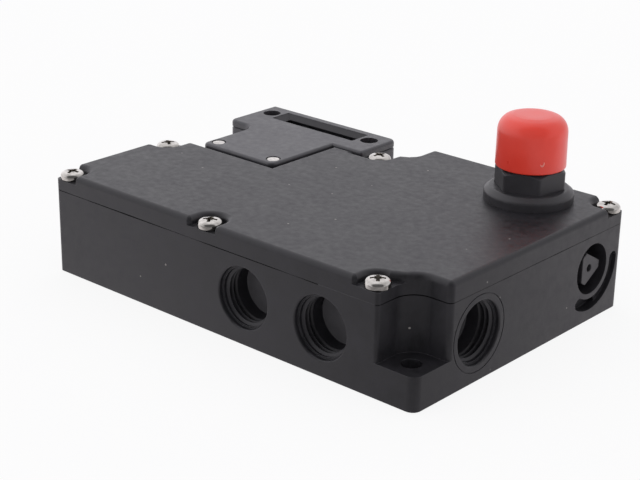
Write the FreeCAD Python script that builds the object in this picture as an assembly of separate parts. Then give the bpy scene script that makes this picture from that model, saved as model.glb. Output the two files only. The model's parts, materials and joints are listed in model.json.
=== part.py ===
import FreeCAD, Part
import math
import os

from FreeCAD import Vector

# Solenoid interlock with a fixed two-way actuator head, a triangular-key release and an escape
# button. Millimetres. Places are measured from the left front bottom corner of the housing and
# are moved to the middle of the mounting face when a node is saved.

# Housing
body_length = 130.0
body_width = 90.0
seam_height = 24.5
cover_top = 30.0
cover_plate = 2.5
wall = 2.5
floor = 3.0
corner_radius = 2.5
left_corner_radius = 1.5
cover_edge_radius = 1.5
rabbet_height = 2.5
rabbet_depth = 0.6
front_part_width = 45.2
rear_notch_left = 51.8
rear_notch_right = 64.6
rear_notch_depth = 10.6
groove_width = 2.0
arm_groove_width = 1.5
gasket_inset = 0.5
gasket_width = 0.8
gasket_depth = 1.0

# Fixing pocket in the front right corner
pocket_length = 12.0
pocket_back = 12.8
pocket_floor = 9.3
pocket_radius = 6.0
pocket_hole_inset = 6.1
pocket_hole_y = 6.1
pocket_hole_radius = 2.65

# Cover screws
screw_edge = 3.4
screw_head_radius = 3.35
screw_head_height = 2.35
screw_shank_radius = 1.6
screw_length = 14.0
screw_post_radius = 5.0
ledge_drop = 2.3
ledge_radius = 4.3
ledge_flare = 2.0
pocket_bay_angle = 150.0
pocket_bay_run_out = 2.0
lobe_reach = 3.0
lobe_slant = 1.0
lobe_side_gap = 0.2
lobe_mouth_inset = 1.6
lobe_mouth_drop = 0.4
side_screw_gap = 5.2
front_screw_gap = 15.0
pocket_screw_gap = 3.0
notch_screw_offset = 4.2
notch_screw_gap = 4.4

# Cable entries, M16 x 1.5 with a closed membrane
entry_radius = 8.0
entry_depth = 9.5
entry_membrane = 2.0
entry_wall = 1.8
entry_mouth_radius = 8.5
entry_mouth_depth = 1.3
entry_mouth_rounding = 0.45
entry_height = 13.0
entry_front_inset = 30.2
entry_pitch = 26.5
entry_side_y = 24.9
entry_ring_radius = 10.5
entry_ring_width = 0.35
entry_ring_depth = 0.25

# Actuator head
head_x = 25.0
stem_half_width = 14.3
stem_gap = 1.7
arm_half_width = 25.0
arm_right_extra = 0.5
left_arm_width = 20.6
right_arm_width = 16.8
arm_fillet = 4.5
plate_thickness = 2.3
head_top = 29.8
plate_edge_radius = 0.9
parting_chamfer = 0.35
hole_spacing = 40.0
hole_inset = 6.7
head_hole_radius = 2.7
window_half_width = 16.5
window_width = 7.6
window_corner = 0.5
throat_half_width = 14.5
rivet_radius = 1.8
rivet_half_spacing = 11.15
rivet_inset = 3.9
rivet_depth = 10.0
rivet_ring = 0.35
rivet_recess = 0.5
rivet_sink = 0.15
rivet_fit = 0.02
head_screw_half_spacing = 10.5
head_screw_radius = 1.9
head_screw_head_radius = 3.2
head_screw_head = 2.2
head_screw_share = 0.53

# Rotor and slide; the rotor pushes the slide through an involute flank, so that the slide moves
# in proportion to the turn
rotor_radius = 9.4
rotor_half_width = 12.0
rotor_inset = 12.8
rotor_z = 15.5
rotor_turn = math.radians(75.0)
rotor_hub_radius = 3.2
axle_radius = 2.0
axle_seat = 4.0
axle_fit = 0.02
chamber_gap = 0.4
mouth_width = 4.6
mouth_depth_radius = 3.9
mouth_angle = 55.0
slide_travel = 6.4
flank_start = 1.2
lobe_back_reach = 4.4
lobe_back_drop = 7.4
slide_half_width = 6.0
slide_height = 9.0
slide_z = 12.0
slide_set_back = 4.2
nose_half_width = 3.7
nose_bottom = 8.5
nose_top = 11.9
seal_margin = 1.8
notch_depth = 4.3

# Lock bolt and solenoid
bolt_radius = 2.2
bolt_rotor_gap = 15.2
bolt_travel = 4.2
bolt_tip_gap = 0.6
bush_radius = 3.6
bush_flange_radius = 5.0
bush_flange = 1.2
bush_nose = 2.0
head_bolt_gap = 0.15
yoke_left = 60.0
yoke_lever_gap = 7.0
yoke_width = 18.0
yoke_sheet = 2.0
armature_radius = 4.5
armature_share = 0.422
core_share = 0.366
winding_gap = 0.2
bobbin_wall = 0.8
bobbin_flange = 1.2
tail_radius = 1.5
collar_radius = 4.2
collar_width = 1.0
drive_arm_thickness = 1.5
drive_arm_left = 48.4
drive_arm_width = 7.0
drive_arm_height = 9.0
drive_arm_overlap = 4.5

# Release levers, plate and key spindle
lever_reach = 13.5
pivot_z = 7.5
pivot_radius = 1.5
pivot_ear = 2.2
ear_half_width = 3.2
ear_rise = 3.0
hub_gap = 0.2
lever_turn = 0.40
finger_half = 1.0
finger_length = 13.0
finger_contact = 11.5
lever_hub_radius = 3.1
hub_front_lip = 0.5
hub_back_lip = 1.3
exit_pad = 1.5
exit_pad_side_inset = 17.5
exit_pad_rear_inset = 21.4
key_pad = 3.0
pad_half_width = 1.7
crank_arm_low = 1.1
crank_arm_high = 1.5
crank_root = 5.0
exit_lever_thickness = 2.6
key_lever_thickness = 3.0
plate_gap = 0.23
release_plate = 1.2
plate_web_half = 3.5
plate_web_low = 3.0
plate_web_right = 1.8
cross_bar_rise = 10.0
cross_bar_height = 3.4
cross_bar_reach = 2.2
spindle_inset = 14.8
spindle_z = 15.0
spindle_recess_radius = 7.1
spindle_boss_wall = 1.3
spindle_boss_depth = 13.0
spindle_recess_depth = 8.7
spindle_disc = 2.8
spindle_radius = 3.6
spindle_inner_radius = 2.3
spindle_disc_gap = 0.15
spindle_step = 0.8
clip_thickness = 0.8
clip_gap = 0.1
clip_bite = 0.6
spindle_clip_radius = 5.2
spindle_seal_start = 1.4
spindle_seal_width = 1.6
spindle_seal_bite = 1.0
key_cam_start = 2.9
key_cam_rise = 2.75
key_cam_offset = 6.0
key_cam_width = 2.7
key_cam_back = 4.6
key_cam_shoulder = 3.0
key_cam_root = 3.2
key_cam_toe = 1.5
key_turn = math.pi
key_post_radius = 4.8
key_post_flat = 1.0
key_post_recess = 0.9
key_post_hole_radius = 1.1
key_post_hole_depth = 2.5
arc_inner_radius = 8.5
arc_outer_radius = 11.9
arc_start = -130.0
arc_step = -68.0
arc_end = 12.0
arc_deep = 3.0
arc_shallow = 1.4
arc_pad_radius = 13.2
arc_pad_thickness = 5.5

# Escape button
button_side_inset = 20.95
button_rear_inset = 15.9
flange_radius = 12.2
flange_height = 3.8
flange_rim = 2.5
flange_lip = 0.7
flange_rounding = 0.8
guide_radius = 10.9
guide_bottom = 24.6
guide_plate = 1.1
seal_start = 0.2
seal_width = 0.7
seal_height = 0.6
collar_corner = 9.85
collar_rounding = 1.0
collar_angle = 20.0
collar_bevel_radius = 8.6
collar_bevel_height = 0.9
collar_room_radius = 6.6
plunger_bottom = 31.2
plunger_top = 39.3
plunger_roof = 3.4
stem_radius = 2.0
stem_side_shift = 1.05
stem_front_shift = 1.3
tenon_radius = 1.3
tenon_end = 0.2
foot_gap = 0.1
foot_thickness = 1.0
foot_radius = 2.0
foot_tip_rounding = 1.2
cap_bottom = 40.0
cap_radius = 9.55
cap_top_radius = 9.45
cap_foot_rounding = 0.5
cap_crown_radius = 7.65
cap_crown_drop = 0.5
cap_crown_rounding = 3.0
cap_shoulder_drop = 2.3
cap_shoulder_rounding = 3.0
cap_rim_rounding = 0.4
cap_room_taper = 0.3
cap_room_rounding = 1.5
cap_flat_radius = 5.3
cap_top = 54.5
cap_wall = 1.6
cap_roof = 3.0
cap_room_drop = 2.0
spigot_radius = 4.0
spigot_ring = 1.4
spigot_fit = 0.02
button_clip_reach = 0.7
button_clip_bite = 0.4
nut_radius = 13.9
nut_height = 2.6

# Contacts and terminals
bar_length = 15.2
bar_half_width = 3.5
neck_radius = 2.6
door_block_half = 12.0
row_share = 0.3015
row_gap = 2.3
block_wall = 1.5
block_top = 19.5
bridge_share = 2 / 3
bridge_height = 2.8
bridge_thickness = 0.8
contact_gap = 0.15
bridge_offset = 9.0
bridge_slot = 3.0
bridge_level = 2.9
tip_radius = 1.1
tip_height = 0.6
tip_inset = 1.3
strip_overlap = 2.6
strip_reach = 2.0
strip_thickness = 1.0
lid_thickness = 1.2
bar_rest_gap = 0.3
door_block_back = 30.0
monitor_neck = 6.0
terminal_count = 8
terminal_pitch = 5.5
terminal_height = 14.0
terminal_side_gap = 24.0
terminal_front = 13.2
terminal_wire_height = 4.5
terminal_wire_radius = 1.7
terminal_wire_depth = 8.0
terminal_screw_y = 5.5
terminal_screw_radius = 2.05
terminal_shank_radius = 1.2
terminal_screw_height = 2.0
terminal_screw_sink = 0.8
terminal_screw_bottom = 6.5
terminal_slot_width = 0.6

# Springs
slide_spring_wire = 0.7
bolt_spring_wire = 0.7
spring_side_gap = 0.3
button_spring_wire = 0.8
button_spring_radius = 5.2

# Fits
running = 0.05
clearance = 0.3

# Worked out from the values above
rear_notch_front = body_width - rear_notch_depth
pocket_left = body_length - pocket_length
pocket_hole_x = body_length - pocket_hole_inset
ledge_height = cover_top - ledge_drop
entry_front_x = body_length - entry_front_inset - entry_pitch
side_screw_y = front_part_width - side_screw_gap
front_screw_x = entry_front_x - front_screw_gap
pocket_screw_x = pocket_left - pocket_screw_gap
notch_screw_x = rear_notch_left + notch_screw_offset
notch_screw_y = rear_notch_front - notch_screw_gap
stem_front = front_part_width + stem_gap
left_arm_front = body_width - left_arm_width
right_arm_front = body_width - right_arm_width
hole_y = body_width - hole_inset
window_y = hole_y
rivet_y = stem_front + rivet_inset
rotor_y = body_width - rotor_inset
slide_front = front_part_width - slide_set_back
bolt_y = rotor_y - bolt_rotor_gap
button_x = body_length - button_side_inset
button_y = body_width - button_rear_inset
stem_x = button_x + stem_side_shift
stem_y = button_y - stem_front_shift
exit_pad_x = body_length - exit_pad_side_inset
exit_pad_y = body_width - exit_pad_rear_inset
pivot_x = exit_pad_x - lever_reach
key_cam_left = pivot_x + key_cam_offset
spindle_y = body_width - spindle_inset
row_width = row_share * (bolt_y - yoke_width / 2 - terminal_front)
terminal_width = row_width
monitor_block_half = row_width
monitor_y = terminal_front + terminal_width + row_gap + monitor_block_half
head_screw_reach = head_screw_share * (bolt_y - stem_front)
door_neck = slide_front - door_block_back
terminal_right = body_length - terminal_side_gap
terminal_left = terminal_right - terminal_pitch * terminal_count
head_left = head_x - arm_half_width
head_right = head_x + arm_half_width + arm_right_extra
stem_left = head_x - stem_half_width
stem_right = head_x + stem_half_width
block_height = head_top - plate_thickness
chamber_half_width = rotor_half_width + chamber_gap
chamber_front = rotor_y - rotor_radius - chamber_gap
chamber_back = window_y + window_width / 2
chamber_floor = rotor_z - rotor_radius - chamber_gap
rear_slot_z = rotor_z - (window_y - rotor_y)
flank_radius = slide_travel / rotor_turn
nose_face = rotor_y - flank_start - running
slide_bottom = slide_z - slide_height / 2
slide_top = slide_z + slide_height / 2
yoke_right = pivot_x - yoke_lever_gap
yoke_length = yoke_right - yoke_left
core_left = yoke_right - core_share * yoke_length
armature_right = core_left - clearance
armature_left = armature_right - armature_share * yoke_length
bolt_tip = head_x + slide_half_width + bolt_tip_gap
finger_lean = finger_contact * math.sin(lever_turn / 2) + finger_half * math.cos(lever_turn / 2)
plate_left = pivot_x + finger_lean + plate_gap
cross_bar_bottom = pivot_z + cross_bar_rise
exit_reach = exit_pad_x - pivot_x
key_reach = key_cam_left + key_cam_width / 2 - pivot_x
exit_pad_rest = pivot_z + exit_reach * math.sin(lever_turn / 2) + exit_pad * math.cos(lever_turn / 2)
foot_bottom = exit_pad_rest + clearance
foot_top = guide_bottom - foot_gap
foot_low = foot_top - foot_thickness
cover_ceiling = cover_top - cover_plate
guide_floor = guide_bottom + guide_plate
hub_seam_y = (exit_pad_y + exit_lever_thickness / 2 + spindle_y - key_lever_thickness / 2) / 2
hub_front = exit_pad_y - exit_lever_thickness / 2 - hub_front_lip
hub_back = spindle_y + key_lever_thickness / 2 + hub_back_lip
key_cam_radius = key_cam_rise / key_turn
cover_screws_at = [
    (screw_edge, screw_edge),
    (screw_edge, side_screw_y),
    (front_screw_x, screw_edge),
    (notch_screw_x, notch_screw_y),
    (pocket_screw_x, screw_edge),
    (body_length - screw_edge, body_width - screw_edge),
]

# Plane of an outline: where it starts, and its two directions
LEVEL = (Vector(0, 0, 0), Vector(1, 0, 0), Vector(0, 1, 0))
FACING_FRONT = (Vector(0, 0, 0), Vector(1, 0, 0), Vector(0, 0, 1))
FACING_SIDE = (Vector(0, 0, 0), Vector(0, 1, 0), Vector(0, 0, 1))


def placed(plane, point):
    origin, across, up = plane
    return origin + across * point[0] + up * point[1]


def corner(before, at, after, radius):
    # Tangent points and middle of the arc that rounds one corner of an outline
    to_before = math.atan2(before[1] - at[1], before[0] - at[0])
    to_after = math.atan2(after[1] - at[1], after[0] - at[0])
    half = abs((to_after - to_before + math.pi) % (2 * math.pi) - math.pi) / 2
    reach = radius / math.tan(half)
    start = (at[0] + reach * math.cos(to_before), at[1] + reach * math.sin(to_before))
    end = (at[0] + reach * math.cos(to_after), at[1] + reach * math.sin(to_after))
    bisector = math.atan2(
        math.sin(to_before) + math.sin(to_after),
        math.cos(to_before) + math.cos(to_after),
    )
    depth = radius / math.sin(half) - radius
    middle = (at[0] + depth * math.cos(bisector), at[1] + depth * math.sin(bisector))
    return start, middle, end


def outline(points, plane=LEVEL):
    # Closed wire through (x, y, radius) corners
    pieces = []
    count = len(points)
    for i in range(count):
        at = points[i]
        radius = at[2] if len(at) > 2 else 0
        if radius > 0:
            pieces.append(corner(points[i - 1], at, points[(i + 1) % count], radius))
        else:
            pieces.append((at, None, at))
    edges = []
    for i in range(count):
        start, middle, end = pieces[i]
        if middle:
            arc = Part.Arc(placed(plane, start), placed(plane, middle), placed(plane, end))
            edges.append(arc.toShape())
        ahead = placed(plane, pieces[(i + 1) % count][0])
        here = placed(plane, end)
        if here.distanceToPoint(ahead) > 1e-6:
            edges.append(Part.makeLine(here, ahead))
    return Part.Wire(edges)


def inset(points, distance):
    # The same outline moved inwards, for corners listed anticlockwise
    moved = []
    count = len(points)
    for i in range(count):
        before = points[i - 1]
        at = points[i]
        after = points[(i + 1) % count]
        first = math.atan2(at[1] - before[1], at[0] - before[0])
        second = math.atan2(after[1] - at[1], after[0] - at[0])
        turn = math.sin(second - first)
        radius = at[2] - distance if turn > 0 else at[2] + distance
        shift_x = distance * (math.cos(first) - math.cos(second)) / turn
        shift_y = distance * (math.sin(first) - math.sin(second)) / turn
        moved.append((at[0] - shift_x, at[1] - shift_y, max(radius, 0) if at[2] > 0 else 0))
    return moved


def prism(points, low, high):
    face = Part.Face(outline(points))
    face.translate(Vector(0, 0, low))
    return face.extrude(Vector(0, 0, high - low))


def prism_y(points, low, high):
    # Outline in x and z, drawn from front to back
    face = Part.Face(outline(points, FACING_FRONT))
    face.translate(Vector(0, low, 0))
    return face.extrude(Vector(0, high - low, 0))


def prism_x(points, low, high):
    # Outline in y and z, drawn from left to right
    face = Part.Face(outline(points, FACING_SIDE))
    face.translate(Vector(low, 0, 0))
    return face.extrude(Vector(high - low, 0, 0))


def box(x_low, x_high, y_low, y_high, z_low, z_high):
    size = (x_high - x_low, y_high - y_low, z_high - z_low)
    return Part.makeBox(*size, Vector(x_low, y_low, z_low))


def rod_x(low, high, y, z, radius):
    return Part.makeCylinder(radius, high - low, Vector(low, y, z), Vector(1, 0, 0))


def rod_y(low, high, x, z, radius):
    return Part.makeCylinder(radius, high - low, Vector(x, low, z), Vector(0, 1, 0))


def rod_z(low, high, x, y, radius):
    return Part.makeCylinder(radius, high - low, Vector(x, y, low))


def turned(profile, x, y):
    # Solid of revolution about a vertical axis, from (radius, height) corners
    wire = outline(profile, FACING_FRONT)
    solid = Part.Face(wire).revolve(Vector(0, 0, 0), Vector(0, 0, 1), 360)
    solid.translate(Vector(x, y, 0))
    return solid


def joined(shapes):
    return shapes[0].multiFuse(shapes[1:]).removeSplitter()


def edges_at(shape, height):
    return [e for e in shape.Edges if all(abs(v.Z - height) < 1e-4 for v in e.Vertexes)
            and abs(e.CenterOfMass.z - height) < 1e-4]


def coil(radius, wire, turns, length, base, direction):
    # Compression spring of square wire, with its first and last turns held in its length
    pitch = (length - wire) / turns
    helix = Part.makeHelix(pitch, pitch * turns, radius)
    half = wire / 2
    section = Part.makePolygon([
        Vector(radius - half, 0, -half),
        Vector(radius + half, 0, -half),
        Vector(radius + half, 0, half),
        Vector(radius - half, 0, half),
        Vector(radius - half, 0, -half),
    ])
    spring = Part.Wire(helix.Edges).makePipeShell([section], True, True)
    spring.translate(Vector(0, 0, half))
    spring.Placement = FreeCAD.Placement(
        base, FreeCAD.Rotation(Vector(0, 0, 1), direction)
    ).multiply(spring.Placement)
    return spring


def save(node, shapes):
    solids = []
    for shape in shapes:
        solids.extend(shape.Solids)
    part = solids[0] if len(solids) == 1 else Part.makeCompound(solids)
    part = part.copy()
    part.translate(Vector(-body_length / 2, -body_width / 2, 0))
    part.exportStep(os.path.join("parts", node + ".step"))


# Outlines of the housing


def pocket_corners():
    return [
        (pocket_left, 0, 1.0),
        (pocket_left, pocket_back, pocket_radius),
        (body_length, pocket_back, 1.5),
    ]


def rear_corners(groove, arm_groove):
    # Far edge of the housing, from the right corner round the notch to the left corner
    return [
        (body_length, body_width, corner_radius),
        (rear_notch_right, body_width, 1.5),
        (rear_notch_right, rear_notch_front, 3.6),
        (rear_notch_left, rear_notch_front, 4.2),
        (rear_notch_left, right_arm_front - arm_groove, 0),
        (stem_right + groove, right_arm_front - arm_groove, 0),
        (stem_right + groove, stem_front - groove, 0),
    ]


def cover_corners():
    return [
        (0, 0, left_corner_radius),
        *pocket_corners(),
        *rear_corners(groove_width, arm_groove_width),
        (0, stem_front - groove_width, 2.0),
    ]


def base_corners(front_right):
    return [
        (0, 0, left_corner_radius),
        *front_right,
        *rear_corners(0, 0),
        (stem_left, stem_front, 0),
        (stem_left, front_part_width, 0),
        (0, front_part_width, 2.0),
    ]


def head_corners():
    return [
        (head_left, left_arm_front, 2.0),
        (stem_left, left_arm_front, arm_fillet),
        (stem_left, stem_front, 2.2),
        (stem_right, stem_front, 2.2),
        (stem_right, right_arm_front, 0),
        (head_right, right_arm_front, 0.6),
        (head_right, body_width, 2.5),
        (head_left, body_width, 0.6),
    ]


# Base housing


def entries():
    # Mouth point and inward direction of each cable entry, two in front and one at each end
    return [
        (Vector(entry_front_x, 0, entry_height), Vector(0, 1, 0)),
        (Vector(entry_front_x + entry_pitch, 0, entry_height), Vector(0, 1, 0)),
        (Vector(body_length, entry_side_y, entry_height), Vector(-1, 0, 0)),
        (Vector(0, entry_side_y, entry_height), Vector(1, 0, 0)),
    ]


def entry_boss(mouth, inward):
    return Part.makeCylinder(
        entry_radius + entry_wall, entry_depth + entry_membrane, mouth, inward
    )


def entry_bore(mouth, inward):
    # Sunk mouth with a rounded rim, then the wall that carries the thread
    rim = entry_mouth_radius + 2 * entry_mouth_rounding
    plane = (mouth, inward.cross(Vector(0, 0, 1)), inward)
    profile = outline([
        (0, -1), (rim, -1), (rim, 0), (entry_mouth_radius, 0, entry_mouth_rounding),
        (entry_mouth_radius, entry_mouth_depth), (entry_radius, entry_mouth_depth),
        (entry_radius, entry_depth), (0, entry_depth),
    ], plane)
    return Part.Face(profile).revolve(mouth, inward, 360)


def entry_ring(mouth, inward):
    # Fine ring line round the entries in the end faces
    outer = Part.makeCylinder(entry_ring_radius, entry_ring_depth, mouth, inward)
    return outer.cut(Part.makeCylinder(
        entry_ring_radius - entry_ring_width, entry_ring_depth, mouth, inward
    ))


def spindle_boss():
    depth = spindle_boss_depth
    boss = rod_x(
        body_length - depth, body_length, spindle_y, spindle_z,
        spindle_recess_radius + spindle_boss_wall,
    )
    pad = rod_x(
        body_length - arc_pad_thickness, body_length, spindle_y, spindle_z, arc_pad_radius
    )
    return boss.fuse(pad)


def arc_sector(start, end, depth):
    ring = rod_x(body_length - depth, body_length, spindle_y, spindle_z, arc_outer_radius)
    ring = ring.cut(rod_x(body_length - depth, body_length, spindle_y, spindle_z, arc_inner_radius))
    middle = math.radians((start + end) / 2)
    half = math.radians(end - start) / 2
    far = 2 * arc_outer_radius
    wedge = [
        (spindle_y, spindle_z),
        (spindle_y + far * math.cos(middle - half), spindle_z + far * math.sin(middle - half)),
        (spindle_y + far * math.cos(middle), spindle_z + far * math.sin(middle)),
        (spindle_y + far * math.cos(middle + half), spindle_z + far * math.sin(middle + half)),
    ]
    return ring.common(prism_x(wedge, body_length - depth, body_length))


def spindle_openings():
    recess = rod_x(
        body_length - spindle_recess_depth, body_length, spindle_y, spindle_z,
        spindle_recess_radius,
    )
    bore = rod_x(
        body_length - spindle_boss_depth, body_length, spindle_y, spindle_z,
        spindle_radius + running,
    )
    deep = arc_sector(arc_start, arc_step, arc_deep)
    shallow = arc_sector(arc_step, arc_end, arc_shallow)
    return joined([recess, bore, deep, shallow])


def lever_ears():
    ears = []
    left = pivot_x - ear_half_width
    right = pivot_x + ear_half_width
    top = pivot_z + ear_rise
    rounding = 0.8 * ear_rise
    for low in (hub_front - clearance - pivot_ear, hub_back + clearance):
        ear = [(left, 0), (right, 0), (right, top, rounding), (left, top, rounding)]
        ears.append(prism_y(ear, low, low + pivot_ear))
    return ears


def slide_opening():
    return box(
        head_x - slide_half_width - clearance,
        head_x + slide_half_width + clearance,
        front_part_width - 2 * wall, chamber_front + 1,
        slide_bottom - clearance, slide_top + clearance,
    )


def seal_ring(grow):
    return box(
        head_x - slide_half_width - grow, head_x + slide_half_width + grow,
        stem_front - wall / 2, stem_front,
        slide_bottom - grow, slide_top + grow,
    )


def base_housing():
    full = base_corners([(body_length, 0, corner_radius)])
    stepped = base_corners(pocket_corners())
    envelope = prism(full, 0, pocket_floor).fuse(prism(stepped, pocket_floor, seam_height))
    shell = envelope.cut(prism(inset(stepped, wall), floor, seam_height))
    added = [entry_boss(*entry) for entry in entries()]
    added.append(spindle_boss())
    added.extend(lever_ears())
    for x, y in cover_screws_at:
        added.append(rod_z(floor, seam_height, x, y, screw_post_radius))
    shell = shell.multiFuse([piece.common(envelope) for piece in added])
    removed = [entry_bore(*entry) for entry in entries()]
    removed.extend(entry_ring(*entry) for entry in entries()[2:])
    removed.append(spindle_openings())
    removed.append(slide_opening())
    removed.append(seal_ring(seal_margin))
    removed.append(rod_x(stem_right - 1, stem_right + 2 * wall, bolt_y, slide_z, bush_radius))
    removed.append(rod_z(0, pocket_floor, pocket_hole_x, pocket_hole_y, pocket_hole_radius))
    removed.append(rod_y(
        hub_front - clearance - pivot_ear, hub_back + clearance + pivot_ear,
        pivot_x, pivot_z, pivot_radius + axle_fit,
    ))
    removed.append(box(
        rear_notch_right - 1, body_length + 1, body_width - rabbet_depth, body_width + 1,
        -1, rabbet_height,
    ))
    for x, y in cover_screws_at:
        removed.append(rod_z(
            ledge_height - screw_length, seam_height, x, y, screw_shank_radius + running
        ))
    for side in (-1, 1):
        removed.append(rod_y(
            front_part_width - 2 * wall, stem_front + 1,
            head_x + side * head_screw_half_spacing, slide_z, head_screw_radius + running,
        ))
        removed.append(rod_y(
            stem_front - 2 * wall, stem_front - wall,
            head_x + side * head_screw_half_spacing, slide_z, head_screw_head_radius + clearance,
        ))
    removed.append(gasket_solid())
    return shell.cut(Part.makeCompound(removed)).removeSplitter()


def gasket_solid():
    outer = inset(cover_corners(), gasket_inset)
    inner = inset(cover_corners(), gasket_inset + gasket_width)
    low = seam_height - gasket_depth
    return prism(outer, low, seam_height).cut(prism(inner, low, seam_height))


# Cover


def screw_bay(x, y, edge_x, edge_y):
    # Sunk ledge round a cover screw, open to one or two edges of the cover with flared mouths
    r = ledge_radius
    flare = ledge_flare
    shapes = [rod_z(ledge_height, cover_top + 1, x, y, r)]
    if edge_x is not None:
        side = 1 if edge_x > x else -1
        beyond = edge_x + side
        throat = edge_x + side * (1 - flare)
        shapes.append(prism([
            (x, y - r), (throat, y - r), (beyond, y - r - flare),
            (beyond, y + r + flare), (throat, y + r), (x, y + r),
        ], ledge_height, cover_top + 1))
    if edge_y is not None:
        side = 1 if edge_y > y else -1
        beyond = edge_y + side
        throat = edge_y + side * (1 - flare)
        shapes.append(prism([
            (x - r, y), (x - r, throat), (x - r - flare, beyond),
            (x + r + flare, beyond), (x + r, throat), (x + r, y),
        ], ledge_height, cover_top + 1))
    if edge_x is not None and edge_y is not None:
        corner_x = sorted((x, 2 * edge_x - x))
        corner_y = sorted((y, 2 * edge_y - y))
        shapes.append(box(*corner_x, *corner_y, ledge_height, cover_top + 1))
    return joined(shapes)


def pocket_bay():
    # The ledge beside the fixing pocket runs out into the pocket's round wall
    x = pocket_screw_x
    y = screw_edge
    angle = math.radians(pocket_bay_angle)
    meet_x = pocket_left + pocket_radius * (1 + math.cos(angle))
    meet_y = pocket_back - pocket_radius * (1 - math.sin(angle))
    run_out = meet_x + pocket_bay_run_out
    mouth = [
        (x, y + ledge_radius), (meet_x, meet_y), (run_out, meet_y), (run_out, -1), (x, -1),
    ]
    return screw_bay(x, y, None, 0).fuse(prism(mouth, ledge_height, cover_top + 1))


def notch_bay():
    # The screw beside the head stands on a lobe that is open to the rear notch
    x = notch_screw_x
    y = notch_screw_y
    r = ledge_radius
    left = rear_notch_left - lobe_reach
    right = rear_notch_right - lobe_mouth_inset
    mouth = [
        (left, y - r), (x, y - r), (x + r, y),
        (x + r + lobe_side_gap, rear_notch_front - lobe_slant),
        (right, rear_notch_front + lobe_mouth_drop), (right, body_width), (left, body_width),
    ]
    return rod_z(ledge_height, cover_top + 1, x, y, r).fuse(
        prism(mouth, ledge_height, cover_top + 1)
    )


def bays():
    front, rear = screw_edge, body_width - screw_edge
    left_part_back = stem_front - groove_width
    return [
        screw_bay(screw_edge, front, 0, 0),
        screw_bay(screw_edge, side_screw_y, 0, left_part_back),
        screw_bay(front_screw_x, front, None, 0),
        notch_bay(),
        pocket_bay(),
        screw_bay(body_length - screw_edge, rear, body_length, body_width),
    ]


def cover():
    corners = cover_corners()
    body = prism(corners, seam_height, cover_top)
    body = body.cut(Part.makeCompound(bays())).removeSplitter()
    body = body.makeFillet(cover_edge_radius, edges_at(body, cover_top))
    hollow = prism(inset(corners, wall), seam_height, cover_ceiling)
    posts = [
        rod_z(seam_height, cover_ceiling, x, y, screw_post_radius) for x, y in cover_screws_at
    ]
    hollow = hollow.cut(Part.makeCompound(posts))
    holes = [
        rod_z(seam_height, cover_top, x, y, screw_shank_radius + clearance)
        for x, y in cover_screws_at
    ]
    holes.append(rod_z(seam_height, cover_top + 1, button_x, button_y, guide_radius + running))
    return body.cut(Part.makeCompound([hollow] + holes)).removeSplitter()


def cover_screw(x, y):
    head = turned([
        (0, ledge_height), (screw_head_radius, ledge_height),
        (screw_head_radius, ledge_height + screw_head_height, 1.3),
        (0, ledge_height + screw_head_height),
    ], x, y)
    shank = rod_z(ledge_height - screw_length, ledge_height, x, y, screw_shank_radius)
    return head.fuse(shank).removeSplitter()


# Head


def fixing_holes(low, high):
    return [
        rod_z(low, high, head_x + side * hole_spacing / 2, hole_y, head_hole_radius)
        for side in (-1, 1)
    ]


def rivet_places():
    return [(head_x + side * rivet_half_spacing, rivet_y) for side in (-1, 1)]


def head_block():
    body = prism(head_corners(), 0, block_height)
    body = body.makeChamfer(parting_chamfer, edges_at(body, block_height))
    removed = fixing_holes(0, block_height)
    removed.append(box(
        head_x - chamber_half_width, head_x + chamber_half_width,
        chamber_front, chamber_back, chamber_floor, block_height,
    ))
    removed.append(box(
        head_x - throat_half_width, head_x + throat_half_width,
        window_y - window_width / 2, chamber_back, chamber_floor, block_height,
    ))
    removed.append(box(
        head_x - throat_half_width, head_x + throat_half_width,
        chamber_back - 1, body_width + 1,
        rear_slot_z - window_width / 2, rear_slot_z + window_width / 2,
    ))
    removed.append(slide_opening())
    removed.append(rod_x(
        head_x - chamber_half_width - axle_seat, head_x + chamber_half_width + axle_seat,
        rotor_y, rotor_z, axle_radius + axle_fit,
    ))
    removed.append(rod_x(head_x, stem_right + 1, bolt_y, slide_z, bolt_radius + head_bolt_gap))
    for x, y in rivet_places():
        removed.append(rod_z(block_height - rivet_depth, block_height, x, y, rivet_radius + rivet_fit))
    for side in (-1, 1):
        removed.append(rod_y(
            stem_front - 1, stem_front + head_screw_reach,
            head_x + side * head_screw_half_spacing, slide_z, head_screw_radius + running,
        ))
    return body.cut(Part.makeCompound(removed)).removeSplitter()


def head_plate():
    body = prism(head_corners(), block_height, head_top)
    body = body.makeFillet(plate_edge_radius, edges_at(body, head_top))
    body = body.makeChamfer(parting_chamfer, edges_at(body, block_height))
    window = prism([
        (head_x - window_half_width, window_y - window_width / 2, window_corner),
        (head_x + window_half_width, window_y - window_width / 2, window_corner),
        (head_x + window_half_width, window_y + window_width / 2, window_corner),
        (head_x - window_half_width, window_y + window_width / 2, window_corner),
    ], block_height, head_top)
    removed = fixing_holes(block_height, head_top) + [window]
    for x, y in rivet_places():
        removed.append(rod_z(block_height, head_top, x, y, rivet_radius + rivet_fit))
        removed.append(rod_z(head_top - rivet_recess, head_top, x, y, rivet_radius + rivet_ring))
    return body.cut(Part.makeCompound(removed)).removeSplitter()


def head_rivets():
    return [
        rod_z(block_height - rivet_depth, head_top - rivet_sink, x, y, rivet_radius)
        for x, y in rivet_places()
    ]


def head_screws():
    screws = []
    seat = stem_front - wall
    for side in (-1, 1):
        x = head_x + side * head_screw_half_spacing
        head = rod_y(seat - head_screw_head, seat, x, slide_z, head_screw_head_radius)
        shank = rod_y(seat, stem_front + head_screw_reach, x, slide_z, head_screw_radius)
        screws.append(head.fuse(shank).removeSplitter())
    return screws


# Rotor and slide


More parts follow.
